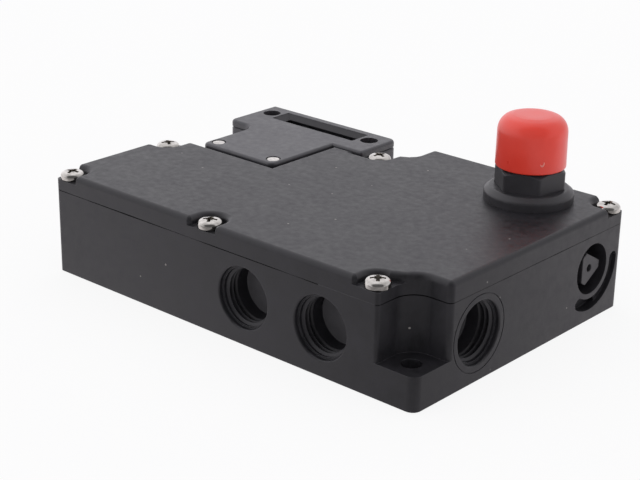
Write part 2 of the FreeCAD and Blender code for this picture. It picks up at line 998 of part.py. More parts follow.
def involute_flank(base_radius, start, sweep, steps):
    # Points of a cam flank whose flat follower stands at start + base_radius * turn. The first
    # direction is the follower's, and the cam turns from the second direction to the first.
    points = []
    for i in range(steps + 1):
        turn = sweep * i / steps
        lift = start + base_radius * turn
        points.append((
            lift * math.cos(turn) - base_radius * math.sin(turn),
            lift * math.sin(turn) + base_radius * math.cos(turn),
        ))
    return points


def cam_prism(flank, back, plane, width):
    # Flank as one smooth curve, closed by straight sides
    curve = Part.BSplineCurve()
    curve.interpolate([placed(plane, point) for point in flank])
    corners = [placed(plane, point) for point in [flank[-1]] + back + [flank[0]]]
    sides = Part.makePolygon(corners)
    face = Part.Face(Part.Wire([curve.toShape()] + sides.Edges))
    return face.extrude(Vector(width, 0, 0))


def rotor_mouth(angle):
    # Radial slot that takes the actuator's cross bar
    bottom = mouth_depth_radius + mouth_width / 2
    slot = prism_x([
        (bottom, -mouth_width / 2), (2 * rotor_radius, -mouth_width / 2),
        (2 * rotor_radius, mouth_width / 2), (bottom, mouth_width / 2),
    ], -rotor_half_width - 1, rotor_half_width + 1)
    end = rod_x(-rotor_half_width - 1, rotor_half_width + 1, bottom, 0, mouth_width / 2)
    slot = slot.fuse(end)
    slot.rotate(Vector(0, 0, 0), Vector(1, 0, 0), angle)
    slot.translate(Vector(head_x, rotor_y, rotor_z))
    return slot


def rotor():
    gap = nose_half_width + clearance
    discs = []
    for low, high in ((-rotor_half_width, -gap), (gap, rotor_half_width)):
        discs.append(rod_x(head_x + low, head_x + high, rotor_y, rotor_z, rotor_radius))
    cheeks = discs[0].fuse(discs[1])
    cheeks = cheeks.cut(Part.makeCompound([
        rotor_mouth(mouth_angle), rotor_mouth(mouth_angle - 90)
    ]))
    hub = rod_x(
        head_x - rotor_half_width, head_x + rotor_half_width, rotor_y, rotor_z, rotor_hub_radius
    )
    plane = (Vector(head_x - gap, rotor_y, rotor_z), Vector(0, -1, 0), Vector(0, 0, -1))
    flank = involute_flank(flank_radius, flank_start, rotor_turn, 12)
    back = [(-lobe_back_reach, lobe_back_drop), (-rotor_hub_radius, 0), (flank_start, 0)]
    lobe = cam_prism(flank, back, plane, 2 * gap)
    bore = rod_x(
        head_x - rotor_half_width, head_x + rotor_half_width, rotor_y, rotor_z,
        axle_radius + running,
    )
    return joined([cheeks, hub, lobe]).cut(bore)


def rotor_axle():
    reach = chamber_half_width + axle_seat
    return rod_x(head_x - reach, head_x + reach, rotor_y, rotor_z, axle_radius)


def slide():
    shoulder = chamber_front - clearance
    body = box(
        head_x - slide_half_width, head_x + slide_half_width,
        slide_front, shoulder, slide_bottom, slide_top,
    )
    nose = box(
        head_x - nose_half_width, head_x + nose_half_width,
        shoulder, nose_face, nose_bottom, nose_top,
    )
    body = body.fuse(nose)
    half = bolt_radius + clearance
    for y in (bolt_y, bolt_y + slide_travel):
        right = head_x + slide_half_width
        body = body.cut(box(
            right - notch_depth, right + 1, y - half, y + half, slide_bottom, slide_top
        ))
    return body.removeSplitter()


def slide_seal():
    hole = box(
        head_x - slide_half_width - running, head_x + slide_half_width + running,
        stem_front - wall, stem_front, slide_bottom - running, slide_top + running,
    )
    return seal_ring(seal_margin).cut(hole)


# Contact sets: drawn with the bar running into the block along +y from the drive face at y = 0


def contact_levels():
    return (slide_z - bridge_level, slide_z + bridge_level)


def bar_start(neck, rest_depth):
    return neck + block_wall + rest_depth


def bridge_face(neck, rest_depth):
    return bar_start(neck, rest_depth) + bridge_offset


def contact_bar(neck, rest_depth):
    start = bar_start(neck, rest_depth)
    bar = box(
        -bar_half_width, bar_half_width, start, start + bar_length,
        slide_z - slide_height / 2, slide_z + slide_height / 2,
    )
    bar = bar.fuse(rod_y(0, start, 0, slide_z, neck_radius))
    face = bridge_face(neck, rest_depth)
    for level in contact_levels():
        bar = bar.cut(box(
            -bar_half_width, bar_half_width, face - bridge_slot, face,
            level - bridge_height / 2, level + bridge_height / 2,
        ))
    return bar.removeSplitter()


def bridges(neck, rest_depth, half_width):
    face = bridge_face(neck, rest_depth)
    reach = bridge_share * half_width
    strips = []
    for level in contact_levels():
        strip = box(
            -reach, reach, face - bridge_thickness, face,
            level - bridge_height / 2, level + bridge_height / 2,
        )
        tips = [
            rod_y(face, face + tip_height, side * (reach - tip_inset), level, tip_radius)
            for side in (-1, 1)
        ]
        strips.append(strip.multiFuse(tips).removeSplitter())
    return strips


def fixed_contacts(neck, rest_depth, inward_travel, half_width):
    face = bridge_face(neck, rest_depth) + tip_height + inward_travel + contact_gap
    strips = []
    for level in contact_levels():
        for side in (-1, 1):
            inner = side * (bridge_share * half_width - strip_overlap)
            outer = side * (half_width + strip_reach)
            strips.append(box(
                min(inner, outer), max(inner, outer), face, face + strip_thickness,
                level - bridge_height / 2, level + bridge_height / 2,
            ))
    return strips


def block_depth(travel):
    return 3 * block_wall + bar_length + travel


def contact_block(neck, travel, strips, half_width):
    back = neck + block_depth(travel)
    shell = box(-half_width, half_width, neck, back, floor, block_top)
    inside = box(
        block_wall - half_width, half_width - block_wall,
        neck + block_wall, back - block_wall, floor + block_wall, block_top,
    )
    hole = rod_y(neck, neck + block_wall, 0, slide_z, neck_radius + running)
    return shell.cut(Part.makeCompound([inside, hole] + strips)).removeSplitter()


def contact_lid(neck, travel, half_width):
    back = neck + block_depth(travel)
    return box(-half_width, half_width, neck, back, block_top, block_top + lid_thickness)


def stand(shapes, angle, x, y):
    for shape in shapes:
        shape.rotate(Vector(0, 0, 0), Vector(0, 0, 1), angle)
        shape.translate(Vector(x, y, 0))
    return shapes


def contact_set(neck, rest_depth, travel, inward_travel, half_width, angle, x, y):
    strips = fixed_contacts(neck, rest_depth, inward_travel, half_width)
    groups = {
        "bar": [contact_bar(neck, rest_depth)],
        "bridges": bridges(neck, rest_depth, half_width),
        "block": [contact_block(neck, travel, strips, half_width)],
        "lid": [contact_lid(neck, travel, half_width)],
        "strips": strips,
    }
    for shapes in groups.values():
        stand(shapes, angle, x, y)
    return groups


# Lock bolt and solenoid


def lock_bolt():
    pin = rod_x(bolt_tip, armature_left, bolt_y, slide_z, bolt_radius)
    collar_left = drive_arm_left + drive_arm_thickness
    collar = rod_x(collar_left, collar_left + collar_width, bolt_y, slide_z, collar_radius)
    return pin.fuse(collar).removeSplitter()


def drive_arm():
    # Flat arm that carries the lock monitor's contact bar along with the bolt
    front = monitor_y - drive_arm_width / 2
    back = bolt_y + drive_arm_overlap
    low = slide_z - drive_arm_height / 2
    high = slide_z + drive_arm_height / 2
    arm = [(front, low, 1.5), (back, low, 3.0), (back, high, 3.0), (front, high, 1.5)]
    left = drive_arm_left
    plate = prism_x(arm, left, left + drive_arm_thickness)
    return plate.cut(rod_x(left, left + drive_arm_thickness, bolt_y, slide_z, bolt_radius))


def armature():
    tail_right = plate_left + release_plate
    plunger = rod_x(armature_left, armature_right, bolt_y, slide_z, armature_radius)
    return plunger.fuse(rod_x(armature_right, tail_right, bolt_y, slide_z, tail_radius))


def release_plate_solid():
    # Upright web on the armature's tail and a cross bar that the levers push
    left = plate_left
    right = left + release_plate
    front = bolt_y - plate_web_half
    back = spindle_y + cross_bar_reach
    low = slide_z - plate_web_low
    top = cross_bar_bottom + cross_bar_height
    web = [
        (front, low, 1.0), (bolt_y + plate_web_right, low, 1.0),
        (bolt_y + plate_web_right, cross_bar_bottom), (back, cross_bar_bottom, 1.0),
        (back, top, 1.0), (front, top, 1.0),
    ]
    plate = prism_x(web, left, right)
    return plate.cut(rod_x(left, right, bolt_y, slide_z, tail_radius))


def bolt_bush():
    end = stem_right + wall + bush_nose
    tube = rod_x(stem_right, end, bolt_y, slide_z, bush_radius)
    flange = rod_x(
        stem_right + wall, stem_right + wall + bush_flange, bolt_y, slide_z, bush_flange_radius
    )
    bore = rod_x(stem_right, end, bolt_y, slide_z, bolt_radius + running)
    return tube.fuse(flange).cut(bore).removeSplitter()


def yoke():
    top = floor + 2 * (slide_z - floor)
    low = bolt_y - yoke_width / 2
    high = bolt_y + yoke_width / 2
    frame = box(yoke_left, yoke_right, low, high, floor, top)
    inside = box(
        yoke_left + yoke_sheet, yoke_right - yoke_sheet, low, high, floor + yoke_sheet, top
    )
    hole = rod_x(yoke_left, yoke_left + yoke_sheet, bolt_y, slide_z, bolt_radius + clearance)
    seat = rod_x(core_left, yoke_right, bolt_y, slide_z, armature_radius)
    return frame.cut(Part.makeCompound([inside, hole, seat]))


def core():
    stub = rod_x(core_left, yoke_right, bolt_y, slide_z, armature_radius)
    return stub.cut(rod_x(core_left, yoke_right, bolt_y, slide_z, tail_radius + running))


def bobbin():
    left = yoke_left + yoke_sheet
    right = yoke_right - yoke_sheet
    bore = armature_radius + running
    tube = rod_x(left, right, bolt_y, slide_z, bore + bobbin_wall)
    flanges = [
        rod_x(low, low + bobbin_flange, bolt_y, slide_z, slide_z - floor - yoke_sheet)
        for low in (left, right - bobbin_flange)
    ]
    return tube.multiFuse(flanges).cut(rod_x(left, right, bolt_y, slide_z, bore)).removeSplitter()


def winding():
    left = yoke_left + yoke_sheet + bobbin_flange
    right = yoke_right - yoke_sheet - bobbin_flange
    outer = slide_z - floor - yoke_sheet - winding_gap
    full = rod_x(left, right, bolt_y, slide_z, outer)
    return full.cut(rod_x(left, right, bolt_y, slide_z, armature_radius + running + bobbin_wall))


# Release levers and key spindle


def bell_crank(reach, pad, thickness, centre_y, hub_low, hub_high):
    # Drawn half way through its turn about the pivot, then swung back to rest
    finger = prism_y([
        (-finger_half, 0), (finger_half, 0),
        (finger_half, finger_length, 0.9), (-finger_half, finger_length, 0.9),
    ], centre_y - thickness / 2, centre_y + thickness / 2)
    end = reach + pad_half_width
    arm = prism_y([
        (0, -crank_arm_low), (end, -crank_arm_low, 1.0), (end, pad, 0.9),
        (reach - pad_half_width, pad, 0.3), (reach - pad_half_width - 0.2, crank_arm_high - 0.05),
        (0.5 * crank_root, crank_arm_high), (finger_half, crank_root), (0, crank_root),
    ], centre_y - thickness / 2, centre_y + thickness / 2)
    hub = rod_y(hub_low, hub_high, 0, 0, lever_hub_radius)
    bore = rod_y(hub_low, hub_high, 0, 0, pivot_radius + running)
    crank = joined([finger, arm, hub]).cut(bore)
    crank.rotate(Vector(0, 0, 0), Vector(0, 1, 0), -math.degrees(lever_turn / 2))
    crank.translate(Vector(pivot_x, 0, pivot_z))
    return crank


def exit_lever():
    return bell_crank(
        exit_reach, exit_pad, exit_lever_thickness, exit_pad_y, hub_front, hub_seam_y - hub_gap / 2
    )


def key_lever():
    return bell_crank(
        key_reach, key_pad, key_lever_thickness, spindle_y, hub_seam_y + hub_gap / 2, hub_back
    )


def lever_pin():
    return rod_y(
        hub_front - clearance - pivot_ear, hub_back + clearance + pivot_ear,
        pivot_x, pivot_z, pivot_radius,
    )


def key_post():
    # Triangular drive of blunt corners, drilled in the middle
    corners = []
    half_flat = key_post_flat / key_post_radius
    for k in range(3):
        for side in (-1, 1):
            angle = math.radians(120 * k) + side * half_flat
            corners.append((
                spindle_y + key_post_radius * math.cos(angle),
                spindle_z + key_post_radius * math.sin(angle),
                0.3,
            ))
    disc_face = body_length - spindle_recess_depth + spindle_disc
    top = body_length - key_post_recess
    post = prism_x(corners, disc_face, top)
    return post.cut(rod_x(
        top - key_post_hole_depth, top, spindle_y, spindle_z, key_post_hole_radius
    ))


def key_spindle():
    disc_left = body_length - spindle_recess_depth + spindle_disc_gap
    disc_right = body_length - spindle_recess_depth + spindle_disc
    step = body_length - spindle_boss_depth - clip_gap - clip_thickness - spindle_step
    disc = rod_x(
        disc_left, disc_right, spindle_y, spindle_z, spindle_recess_radius - spindle_disc_gap
    )
    shaft = rod_x(step, disc_left, spindle_y, spindle_z, spindle_radius)
    inner = rod_x(
        key_cam_left + key_cam_width, step, spindle_y, spindle_z, spindle_inner_radius
    )
    plane = (Vector(key_cam_left, spindle_y, spindle_z), Vector(0, 0, -1), Vector(0, -1, 0))
    flank = involute_flank(key_cam_radius, key_cam_start, key_turn, 24)
    back = [
        (-key_cam_back, -key_cam_shoulder), (0, -key_cam_root), (key_cam_start, -key_cam_toe),
    ]
    cam = cam_prism(flank, back, plane, key_cam_width)
    spindle = joined([disc, shaft, inner, cam, key_post()])
    return spindle.cut(Part.makeCompound([spindle_clip(), spindle_seal()]))


def spindle_ring(left, right, inner, outer):
    ring = rod_x(left, right, spindle_y, spindle_z, outer)
    return ring.cut(rod_x(left, right, spindle_y, spindle_z, inner))


def spindle_clip():
    right = body_length - spindle_boss_depth - clip_gap
    return spindle_ring(
        right - clip_thickness, right, spindle_radius - clip_bite, spindle_clip_radius
    )


def spindle_seal():
    left = body_length - spindle_boss_depth + spindle_seal_start
    return spindle_ring(
        left, left + spindle_seal_width, spindle_radius - spindle_seal_bite, spindle_radius
    )


# Escape button


def six_sides(reach, rounding, angle):
    # Hexagon round the button's axis, from its corner distance and the angle of its first corner
    return [
        (
            button_x + reach * math.cos(math.radians(angle + 60 * k)),
            button_y + reach * math.sin(math.radians(angle + 60 * k)),
            rounding,
        )
        for k in range(6)
    ]


def button_guide():
    # Turned flange and neck with a six-sided hole that keeps the plunger from turning
    top = cover_top + flange_height
    profile = [
        (0, guide_bottom), (guide_radius, guide_bottom), (guide_radius, cover_top),
        (flange_radius, cover_top), (flange_radius, cover_top + flange_rim, flange_rounding),
        (collar_corner + flange_lip, top, flange_rounding), (0, top),
    ]
    hole = prism(
        six_sides(collar_corner + running, collar_rounding, collar_angle), guide_floor, top
    )
    bore = rod_z(guide_bottom, guide_floor, stem_x, stem_y, stem_radius + running)
    return turned(profile, button_x, button_y).cut(Part.makeCompound([hole, bore, button_seal()]))


def button_seal():
    inner = guide_radius + seal_start
    return turned([
        (inner, cover_top), (inner + seal_width, cover_top),
        (inner + seal_width, cover_top + seal_height), (inner, cover_top + seal_height),
    ], button_x, button_y)


def button_nut():
    # Six-sided ring nut below the cover
    nut = prism(six_sides(nut_radius, 0, 0), cover_ceiling - nut_height, cover_ceiling)
    return nut.cut(rod_z(guide_bottom, cover_top, button_x, button_y, guide_radius + axle_fit))


def button_plunger():
    # Six-sided collar, bevelled like a nut at its top, on a stem and below the cap's spigot
    roof = plunger_top - plunger_roof
    slant = (collar_corner + 1 - collar_bevel_radius) / (collar_corner - collar_bevel_radius)
    collar = prism(
        six_sides(collar_corner, collar_rounding, collar_angle), plunger_bottom, plunger_top
    )
    bevel = turned([
        (0, plunger_bottom), (collar_corner + 1, plunger_bottom),
        (collar_corner + 1, plunger_top - collar_bevel_height * slant),
        (collar_bevel_radius, plunger_top), (0, plunger_top),
    ], button_x, button_y)
    room = rod_z(plunger_bottom, roof, button_x, button_y, collar_room_radius)
    spigot = rod_z(roof, cap_top - cap_wall - cap_roof, button_x, button_y, spigot_radius)
    stem = rod_z(foot_top, roof, stem_x, stem_y, stem_radius)
    tenon = rod_z(
        foot_low - clip_thickness - tenon_end, foot_top, stem_x, stem_y, tenon_radius
    )
    shell = collar.common(bevel).cut(room)
    return shell.multiFuse([spigot, stem, tenon]).cut(button_clip()).removeSplitter()


def button_foot():
    # Plate on the stem's tenon that carries the pusher beside the key spindle
    across = Vector(exit_pad_x - stem_x, exit_pad_y - stem_y, 0)
    side = Vector(-across.y, across.x, 0).normalize() * foot_radius
    ends = [Vector(stem_x, stem_y, 0), Vector(exit_pad_x, exit_pad_y, 0)]
    edge = [ends[0] + side, ends[1] + side, ends[1] - side, ends[0] - side]
    plate = prism([(v.x, v.y) for v in edge], foot_low, foot_top)
    rounds = [rod_z(foot_low, foot_top, v.x, v.y, foot_radius) for v in ends]
    pusher = turned([
        (0, foot_bottom), (foot_radius, foot_bottom, foot_tip_rounding),
        (foot_radius, foot_top), (0, foot_top),
    ], exit_pad_x, exit_pad_y)
    foot = plate.multiFuse(rounds + [pusher]).removeSplitter()
    return foot.cut(rod_z(foot_low, foot_top, stem_x, stem_y, tenon_radius + axle_fit))


def button_clip():
    inner = tenon_radius - button_clip_bite
    outer = tenon_radius + button_clip_reach
    return turned([
        (inner, foot_low - clip_thickness), (outer, foot_low - clip_thickness),
        (outer, foot_low), (inner, foot_low),
    ], stem_x, stem_y)


def button_cap():
    # Hollow cap on a tube that stands on the collar and grips the spigot
    inner = cap_radius - cap_wall
    tube = spigot_radius + spigot_ring
    roof = cap_top - cap_wall - cap_roof
    room_top = roof - cap_room_drop
    outside = turned([
        (0, cap_bottom), (cap_radius, cap_bottom, cap_foot_rounding),
        (cap_top_radius, cap_top - cap_shoulder_drop, cap_shoulder_rounding),
        (cap_crown_radius, cap_top - cap_crown_drop, cap_crown_rounding),
        (cap_flat_radius, cap_top, cap_rim_rounding), (0, cap_top),
    ], button_x, button_y)
    room = turned([
        (tube, cap_bottom), (inner, cap_bottom),
        (inner - cap_room_taper, room_top, cap_room_rounding), (tube, room_top),
    ], button_x, button_y)
    foot = rod_z(plunger_top, cap_bottom, button_x, button_y, tube)
    socket = rod_z(plunger_top, roof, button_x, button_y, spigot_radius + spigot_fit)
    return outside.cut(room).fuse(foot).cut(socket).removeSplitter()


# Terminals


def terminal_places():
    return [terminal_left + terminal_pitch * (k + 0.5) for k in range(terminal_count)]


def terminal_block():
    width = terminal_pitch * terminal_count
    body = box(
        terminal_left, terminal_left + width,
        terminal_front, terminal_front + terminal_width, floor, floor + terminal_height,
    )
    removed = []
    for x in terminal_places():
        removed.append(rod_y(
            terminal_front, terminal_front + terminal_wire_depth, x,
            floor + terminal_wire_height, terminal_wire_radius,
        ))
        removed.append(rod_z(
            floor + terminal_wire_height, floor + terminal_height, x,
            terminal_front + terminal_screw_y, terminal_screw_radius + running,
        ))
    return body.cut(Part.makeCompound(removed)).removeSplitter()


def terminal_screws():
    screws = []
    y = terminal_front + terminal_screw_y
    top = floor + terminal_height - terminal_screw_sink
    for x in terminal_places():
        head = rod_z(top - terminal_screw_height, top, x, y, terminal_screw_radius)
        shank = rod_z(floor + terminal_screw_bottom, top, x, y, terminal_shank_radius)
        slot = box(
            x - terminal_screw_radius, x + terminal_screw_radius,
            y - terminal_slot_width / 2, y + terminal_slot_width / 2,
            top - terminal_screw_height / 2, top,
        )
        screws.append(head.fuse(shank).cut(slot).removeSplitter())
    return screws


# Springs


def slide_spring():
    mean = neck_radius + spring_side_gap + slide_spring_wire / 2
    base = Vector(head_x, slide_front, slide_z)
    return coil(mean, slide_spring_wire, 4, door_neck, base, Vector(0, -1, 0))


def bolt_spring():
    left = drive_arm_left + drive_arm_thickness + collar_width
    mean = bolt_radius + spring_side_gap + bolt_spring_wire / 2
    base = Vector(left, bolt_y, slide_z)
    return coil(mean, bolt_spring_wire, 5, yoke_left - left, base, Vector(1, 0, 0))


def button_spring():
    roof = plunger_top - plunger_roof
    base = Vector(button_x, button_y, guide_floor)
    return coil(button_spring_radius, button_spring_wire, 5, roof - guide_floor, base, Vector(0, 0, 1))


def main():
    os.makedirs("parts", exist_ok=True)
    save("base_housing", [base_housing()])
    save("cover", [cover()])
    save("cover_gasket", [gasket_solid()])
    save("cover_screws", [cover_screw(x, y) for x, y in cover_screws_at])
    save("head_block", [head_block()])
    save("head_plate", [head_plate()])
    save("head_rivets", head_rivets())
    save("head_screws", head_screws())
    save("rotor", [rotor()])
    save("rotor_axle", [rotor_axle()])
    save("slide", [slide()])
    save("slide_seal", [slide_seal()])
    save("slide_spring", [slide_spring()])
    door = contact_set(
        door_neck, bar_rest_gap, slide_travel, slide_travel, door_block_half, 180,
        head_x, slide_front,
    )
    monitor = contact_set(
        monitor_neck, bolt_travel + bar_rest_gap, bolt_travel, 0, monitor_block_half, -90,
        drive_arm_left + drive_arm_thickness, monitor_y,
    )
    save("door_contact_block", door["block"])
    save("door_contact_bar", door["bar"])
    save("door_contact_bridges", door["bridges"])
    save("lock_contact_block", monitor["block"])
    save("lock_contact_bar", monitor["bar"])
    save("lock_contact_bridges", monitor["bridges"])
    save("contact_lids", door["lid"] + monitor["lid"])
    save("fixed_contacts", door["strips"] + monitor["strips"])
    save("lock_bolt", [lock_bolt()])
    save("drive_arm", [drive_arm()])
    save("armature", [armature()])
    save("release_plate", [release_plate_solid()])
    save("bolt_bush", [bolt_bush()])
    save("bolt_spring", [bolt_spring()])
    save("solenoid_yoke", [yoke()])
    save("solenoid_core", [core()])
    save("coil_bobbin", [bobbin()])
    save("coil_winding", [winding()])
    save("exit_lever", [exit_lever()])
    save("key_lever", [key_lever()])
    save("lever_pin", [lever_pin()])
    save("key_spindle", [key_spindle()])
    save("spindle_clip", [spindle_clip()])
    save("spindle_seal", [spindle_seal()])
    save("button_guide", [button_guide()])
    save("button_seal", [button_seal()])
    save("button_nut", [button_nut()])
    save("button_plunger", [button_plunger()])
    save("button_foot", [button_foot()])
    save("button_clip", [button_clip()])
    save("button_cap", [button_cap()])
    save("button_spring", [button_spring()])
    save("terminal_block", [terminal_block()])
    save("terminal_screws", terminal_screws())


main()
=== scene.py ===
import json
import math

import bmesh
import bpy
from mathutils import Matrix, Vector

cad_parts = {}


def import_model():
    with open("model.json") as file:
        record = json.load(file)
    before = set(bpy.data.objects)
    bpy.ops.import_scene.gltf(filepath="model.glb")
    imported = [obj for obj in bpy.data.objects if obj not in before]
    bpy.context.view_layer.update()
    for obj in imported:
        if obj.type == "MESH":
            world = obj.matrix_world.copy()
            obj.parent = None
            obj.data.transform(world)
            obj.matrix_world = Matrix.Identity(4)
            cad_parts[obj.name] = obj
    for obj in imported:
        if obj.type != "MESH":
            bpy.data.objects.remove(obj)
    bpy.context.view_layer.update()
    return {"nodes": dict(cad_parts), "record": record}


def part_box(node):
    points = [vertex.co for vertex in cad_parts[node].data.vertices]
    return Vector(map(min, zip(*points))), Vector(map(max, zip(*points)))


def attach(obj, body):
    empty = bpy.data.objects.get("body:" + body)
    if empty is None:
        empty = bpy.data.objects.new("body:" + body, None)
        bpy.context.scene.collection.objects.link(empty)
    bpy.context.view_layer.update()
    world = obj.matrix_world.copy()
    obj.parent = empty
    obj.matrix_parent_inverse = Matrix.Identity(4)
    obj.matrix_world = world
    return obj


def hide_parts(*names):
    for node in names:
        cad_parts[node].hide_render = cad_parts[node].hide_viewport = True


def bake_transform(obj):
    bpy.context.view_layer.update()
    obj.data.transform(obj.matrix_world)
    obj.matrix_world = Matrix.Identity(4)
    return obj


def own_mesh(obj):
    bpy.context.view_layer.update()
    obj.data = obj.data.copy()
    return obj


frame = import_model()
nodes = frame["nodes"]
mm = 0.001
origin = Vector(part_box("base_housing")[0])     # left front bottom corner of the housing
joints = frame["record"]["behaviour"]["joints"]
travels = {joint["name"]: joint["range_m"][1] for joint in joints if "range_m" in joint}
print("frame loaded with", len(nodes), "nodes")


# Shader maths: a socket that can be written in expressions

class Value:
    def __init__(self, finish, socket):
        self.finish = finish
        self.socket = socket

    def math(self, operation, first, second):
        return self.finish.node("ShaderNodeMath", {"operation": operation}, {0: first, 1: second})

    def __add__(self, other):
        return self.math("ADD", self, other)

    def __radd__(self, other):
        return self.math("ADD", other, self)

    def __sub__(self, other):
        return self.math("SUBTRACT", self, other)

    def __rsub__(self, other):
        return self.math("SUBTRACT", other, self)

    def __mul__(self, other):
        return self.math("MULTIPLY", self, other)

    def __rmul__(self, other):
        return self.math("MULTIPLY", other, self)

    def __abs__(self):
        return self.math("ABSOLUTE", self, 0.0)

    def __gt__(self, other):
        return self.math("GREATER_THAN", self, other)

    def __lt__(self, other):
        return self.math("LESS_THAN", self, other)


class Finish:
    def __init__(self, owner):
        self.owner = owner      # a material, or the world
        owner.use_nodes = True
        self.tree = owner.node_tree
        self.tree.nodes.clear()

    def node(self, kind, settings=None, inputs=None, output=0):
        made = self.tree.nodes.new(kind)
        for key, value in (settings or {}).items():
            if key == "stops":
                self.ramp(made.color_ramp, value)
            else:
                setattr(made, key, value)
        for key, value in (inputs or {}).items():
            if isinstance(value, Value):
                self.tree.links.new(value.socket, made.inputs[key])
            else:
                made.inputs[key].default_value = value
        return Value(self, made.outputs[output]) if len(made.outputs) else None

    def ramp(self, ramp, stops):
        while len(ramp.elements) < len(stops):
            ramp.elements.new(0.5)
        for element, (position, shade) in zip(ramp.elements, stops):
            element.position = position
            element.color = (shade, shade, shade, 1)

    def place(self):
        return self.node("ShaderNodeTexCoord", output=3)     # object space, in metres

    def noise(self, place, size, detail=2, roughness=0.5, stretch=None):
        if stretch:
            place = self.node("ShaderNodeMapping", inputs={0: place, 3: stretch})
        return self.node("ShaderNodeTexNoise", inputs={
            "Vector": place, "Scale": 1 / size, "Detail": detail, "Roughness": roughness,
        })

    def curve(self, value, stops):
        return self.node("ShaderNodeValToRGB", {"stops": stops}, {0: value})

    def part(self, vector, axis):
        return self.node("ShaderNodeSeparateXYZ", inputs={0: vector}, output=axis)

    def specks(self, place, spacing, size, share):
        # sparse round spots: near a cell's point, and only in some cells
        settings = {"feature": "F1"}
        inputs = {"Vector": place, "Scale": 1 / spacing}
        near = self.node("ShaderNodeTexVoronoi", settings, inputs)
        pick = self.node("ShaderNodeTexVoronoi", settings, inputs, output=1)
        chosen = self.node("ShaderNodeSeparateColor", inputs={0: pick})
        return (near < size / spacing) * (chosen < share)

    def rounded(self, radius):
        return self.node("ShaderNodeBevel", {"samples": 4}, {0: radius})

    def edgeLean(self, rounded):
        # 0 on flats, rising where the rounded edge leans away from the true face
        true = self.node("ShaderNodeNewGeometry", output=1)
        return 1 - self.vector("DOT_PRODUCT", rounded, true)

    def vector(self, operation, first, second):
        return self.node("ShaderNodeVectorMath", {"operation": operation}, {0: first, 1: second}, output=1)

    def mix(self, mask, first, second):
        return self.node("ShaderNodeMix", {"data_type": "RGBA"}, {0: mask, 6: first, 7: second}, output=2)

    def bump(self, height, depth, under=None):
        inputs = {"Height": height, "Distance": depth, "Strength": 1.0}
        if under:
            inputs["Normal"] = under
        return self.node("ShaderNodeBump", inputs=inputs)

    def surface(self, inputs):
        shader = self.node("ShaderNodeBsdfPrincipled", inputs=inputs)
        self.node("ShaderNodeOutputMaterial", inputs={0: shader})
        return self.owner


def shade(red, green, blue):
    # 0 to 255 screen values to linear
    def linear(c):
        c = c / 255
        return c / 12.92 if c < 0.04045 else ((c + 0.055) / 1.055) ** 2.4
    return (linear(red), linear(green), linear(blue), 1)


# Plastics

def mouldedPlastic(name, look):
    finish = Finish(bpy.data.materials.new(name))
    place = finish.place()
    cloud = finish.noise(place, look["cloud"], detail=3)
    mottle = finish.noise(place, look["mottle"], detail=3, roughness=0.6)
    grain = finish.noise(place, look["grain"], detail=2, roughness=0.65)
    dust = finish.specks(place, look["dustSpacing"], look["dustSize"], look["dustShare"])
    rounded = finish.rounded(look["edge"])
    # lighter colour along rounded edges: partly edge wear, partly painted highlight
    wearAndHighlight = finish.curve(finish.edgeLean(rounded) * (look["evenWearAndHighlight"] + mottle), [(0.02, 0), (0.3, look["wearAndHighlight"])])
    tone = finish.curve(cloud * 0.5 + mottle * 0.5, [(0.31, 0), (0.69, 1)])
    colour = finish.mix(tone, look["dark"], look["light"])
    colour = finish.mix(wearAndHighlight, colour, look["rubbedAndHighlit"])
    colour = finish.mix(dust * look["dustAmount"], colour, look["dust"])
    roughness = look["roughness"] + (cloud - 0.5) * look["cloudy"] + (mottle - 0.5) * look["patchy"]
    inputs = {
        "Roughness": roughness + dust * 0.2,
        "Specular IOR Level": look["specular"],
        "Normal": finish.bump(grain * 0.7 + mottle * 0.5, look["depth"], rounded),
    }
    if look["seam"]:
        # thin dark joint between housing and cover, open in some stretches and nearly shut in others
        height = finish.part(place, 2)
        gape = finish.noise(place, look["seamStretch"], detail=1)
        shut = origin + Vector(look["shutAt"]) * mm
        far = finish.vector("DISTANCE", place, shut)
        half = look["seamWidth"] * (gape - look["seamShut"]) * (far > look["shutReach"])
        joint = abs(height - (origin.z + look["seam"])) < half
        colour = finish.mix(joint, colour, shade(4, 4, 4))
        inputs["Metallic"] = joint      # a black metal gives back almost no light
    inputs["Base Color"] = colour
    return finish.surface(inputs)


housingLook = {
    "dark": shade(27, 27, 29),
    "light": shade(44, 43, 47),
    # edge colour: rubbed plastic and painted highlight
    "rubbedAndHighlit": shade(96, 95, 99),
    "wearAndHighlight": 0.5,
    "evenWearAndHighlight": 0.55,
    "edge": 0.22 * mm,
    "dust": shade(170, 166, 160),
    "dustAmount": 0.6,
    "dustSpacing": 3.4 * mm,
    "dustSize": 0.3 * mm,
    "dustShare": 0.06,
    "cloud": 9 * mm,
    "mottle": 2.0 * mm,
    "cloudy": 0.14,
    "patchy": 0.34,
    "grain": 0.26 * mm,
    "depth": 0.019 * mm,
    "roughness": 0.45,
    "specular": 0.5,
    "seam": 24.5 * mm,
    "seamWidth": 0.44 * mm,
    "seamStretch": 22 * mm,
    "seamShut": 0.26,
    "shutAt": (108, 0, 24.5),
    "shutReach": 9 * mm,
}
headLook = dict(
    housingLook, dark=shade(50, 50, 53), light=shade(64, 63, 68), roughness=0.44, specular=0.8, seam=0,
    depth=0.024 * mm, dustShare=0.03,
)
buttonLook = dict(
    housingLook, dark=shade(46, 45, 47), light=shade(56, 55, 58), roughness=0.42, patchy=0.2, edge=0.5 * mm,
    seam=0,
)
innerLook = dict(housingLook, dark=shade(120, 120, 122), light=shade(140, 140, 142), roughness=0.5, seam=0)
acetalLook = dict(
    housingLook, dark=shade(208, 205, 196), light=shade(226, 224, 216), rubbedAndHighlit=shade(236, 234, 228),
    dustShare=0.0, seam=0,
)
# membrane plastic lighter than the housing plastic: painted light on the membrane at the bottom of each bore
litMembraneLook = dict(housingLook, dark=shade(76, 75, 77), light=shade(88, 87, 89), roughness=0.5, seam=0)

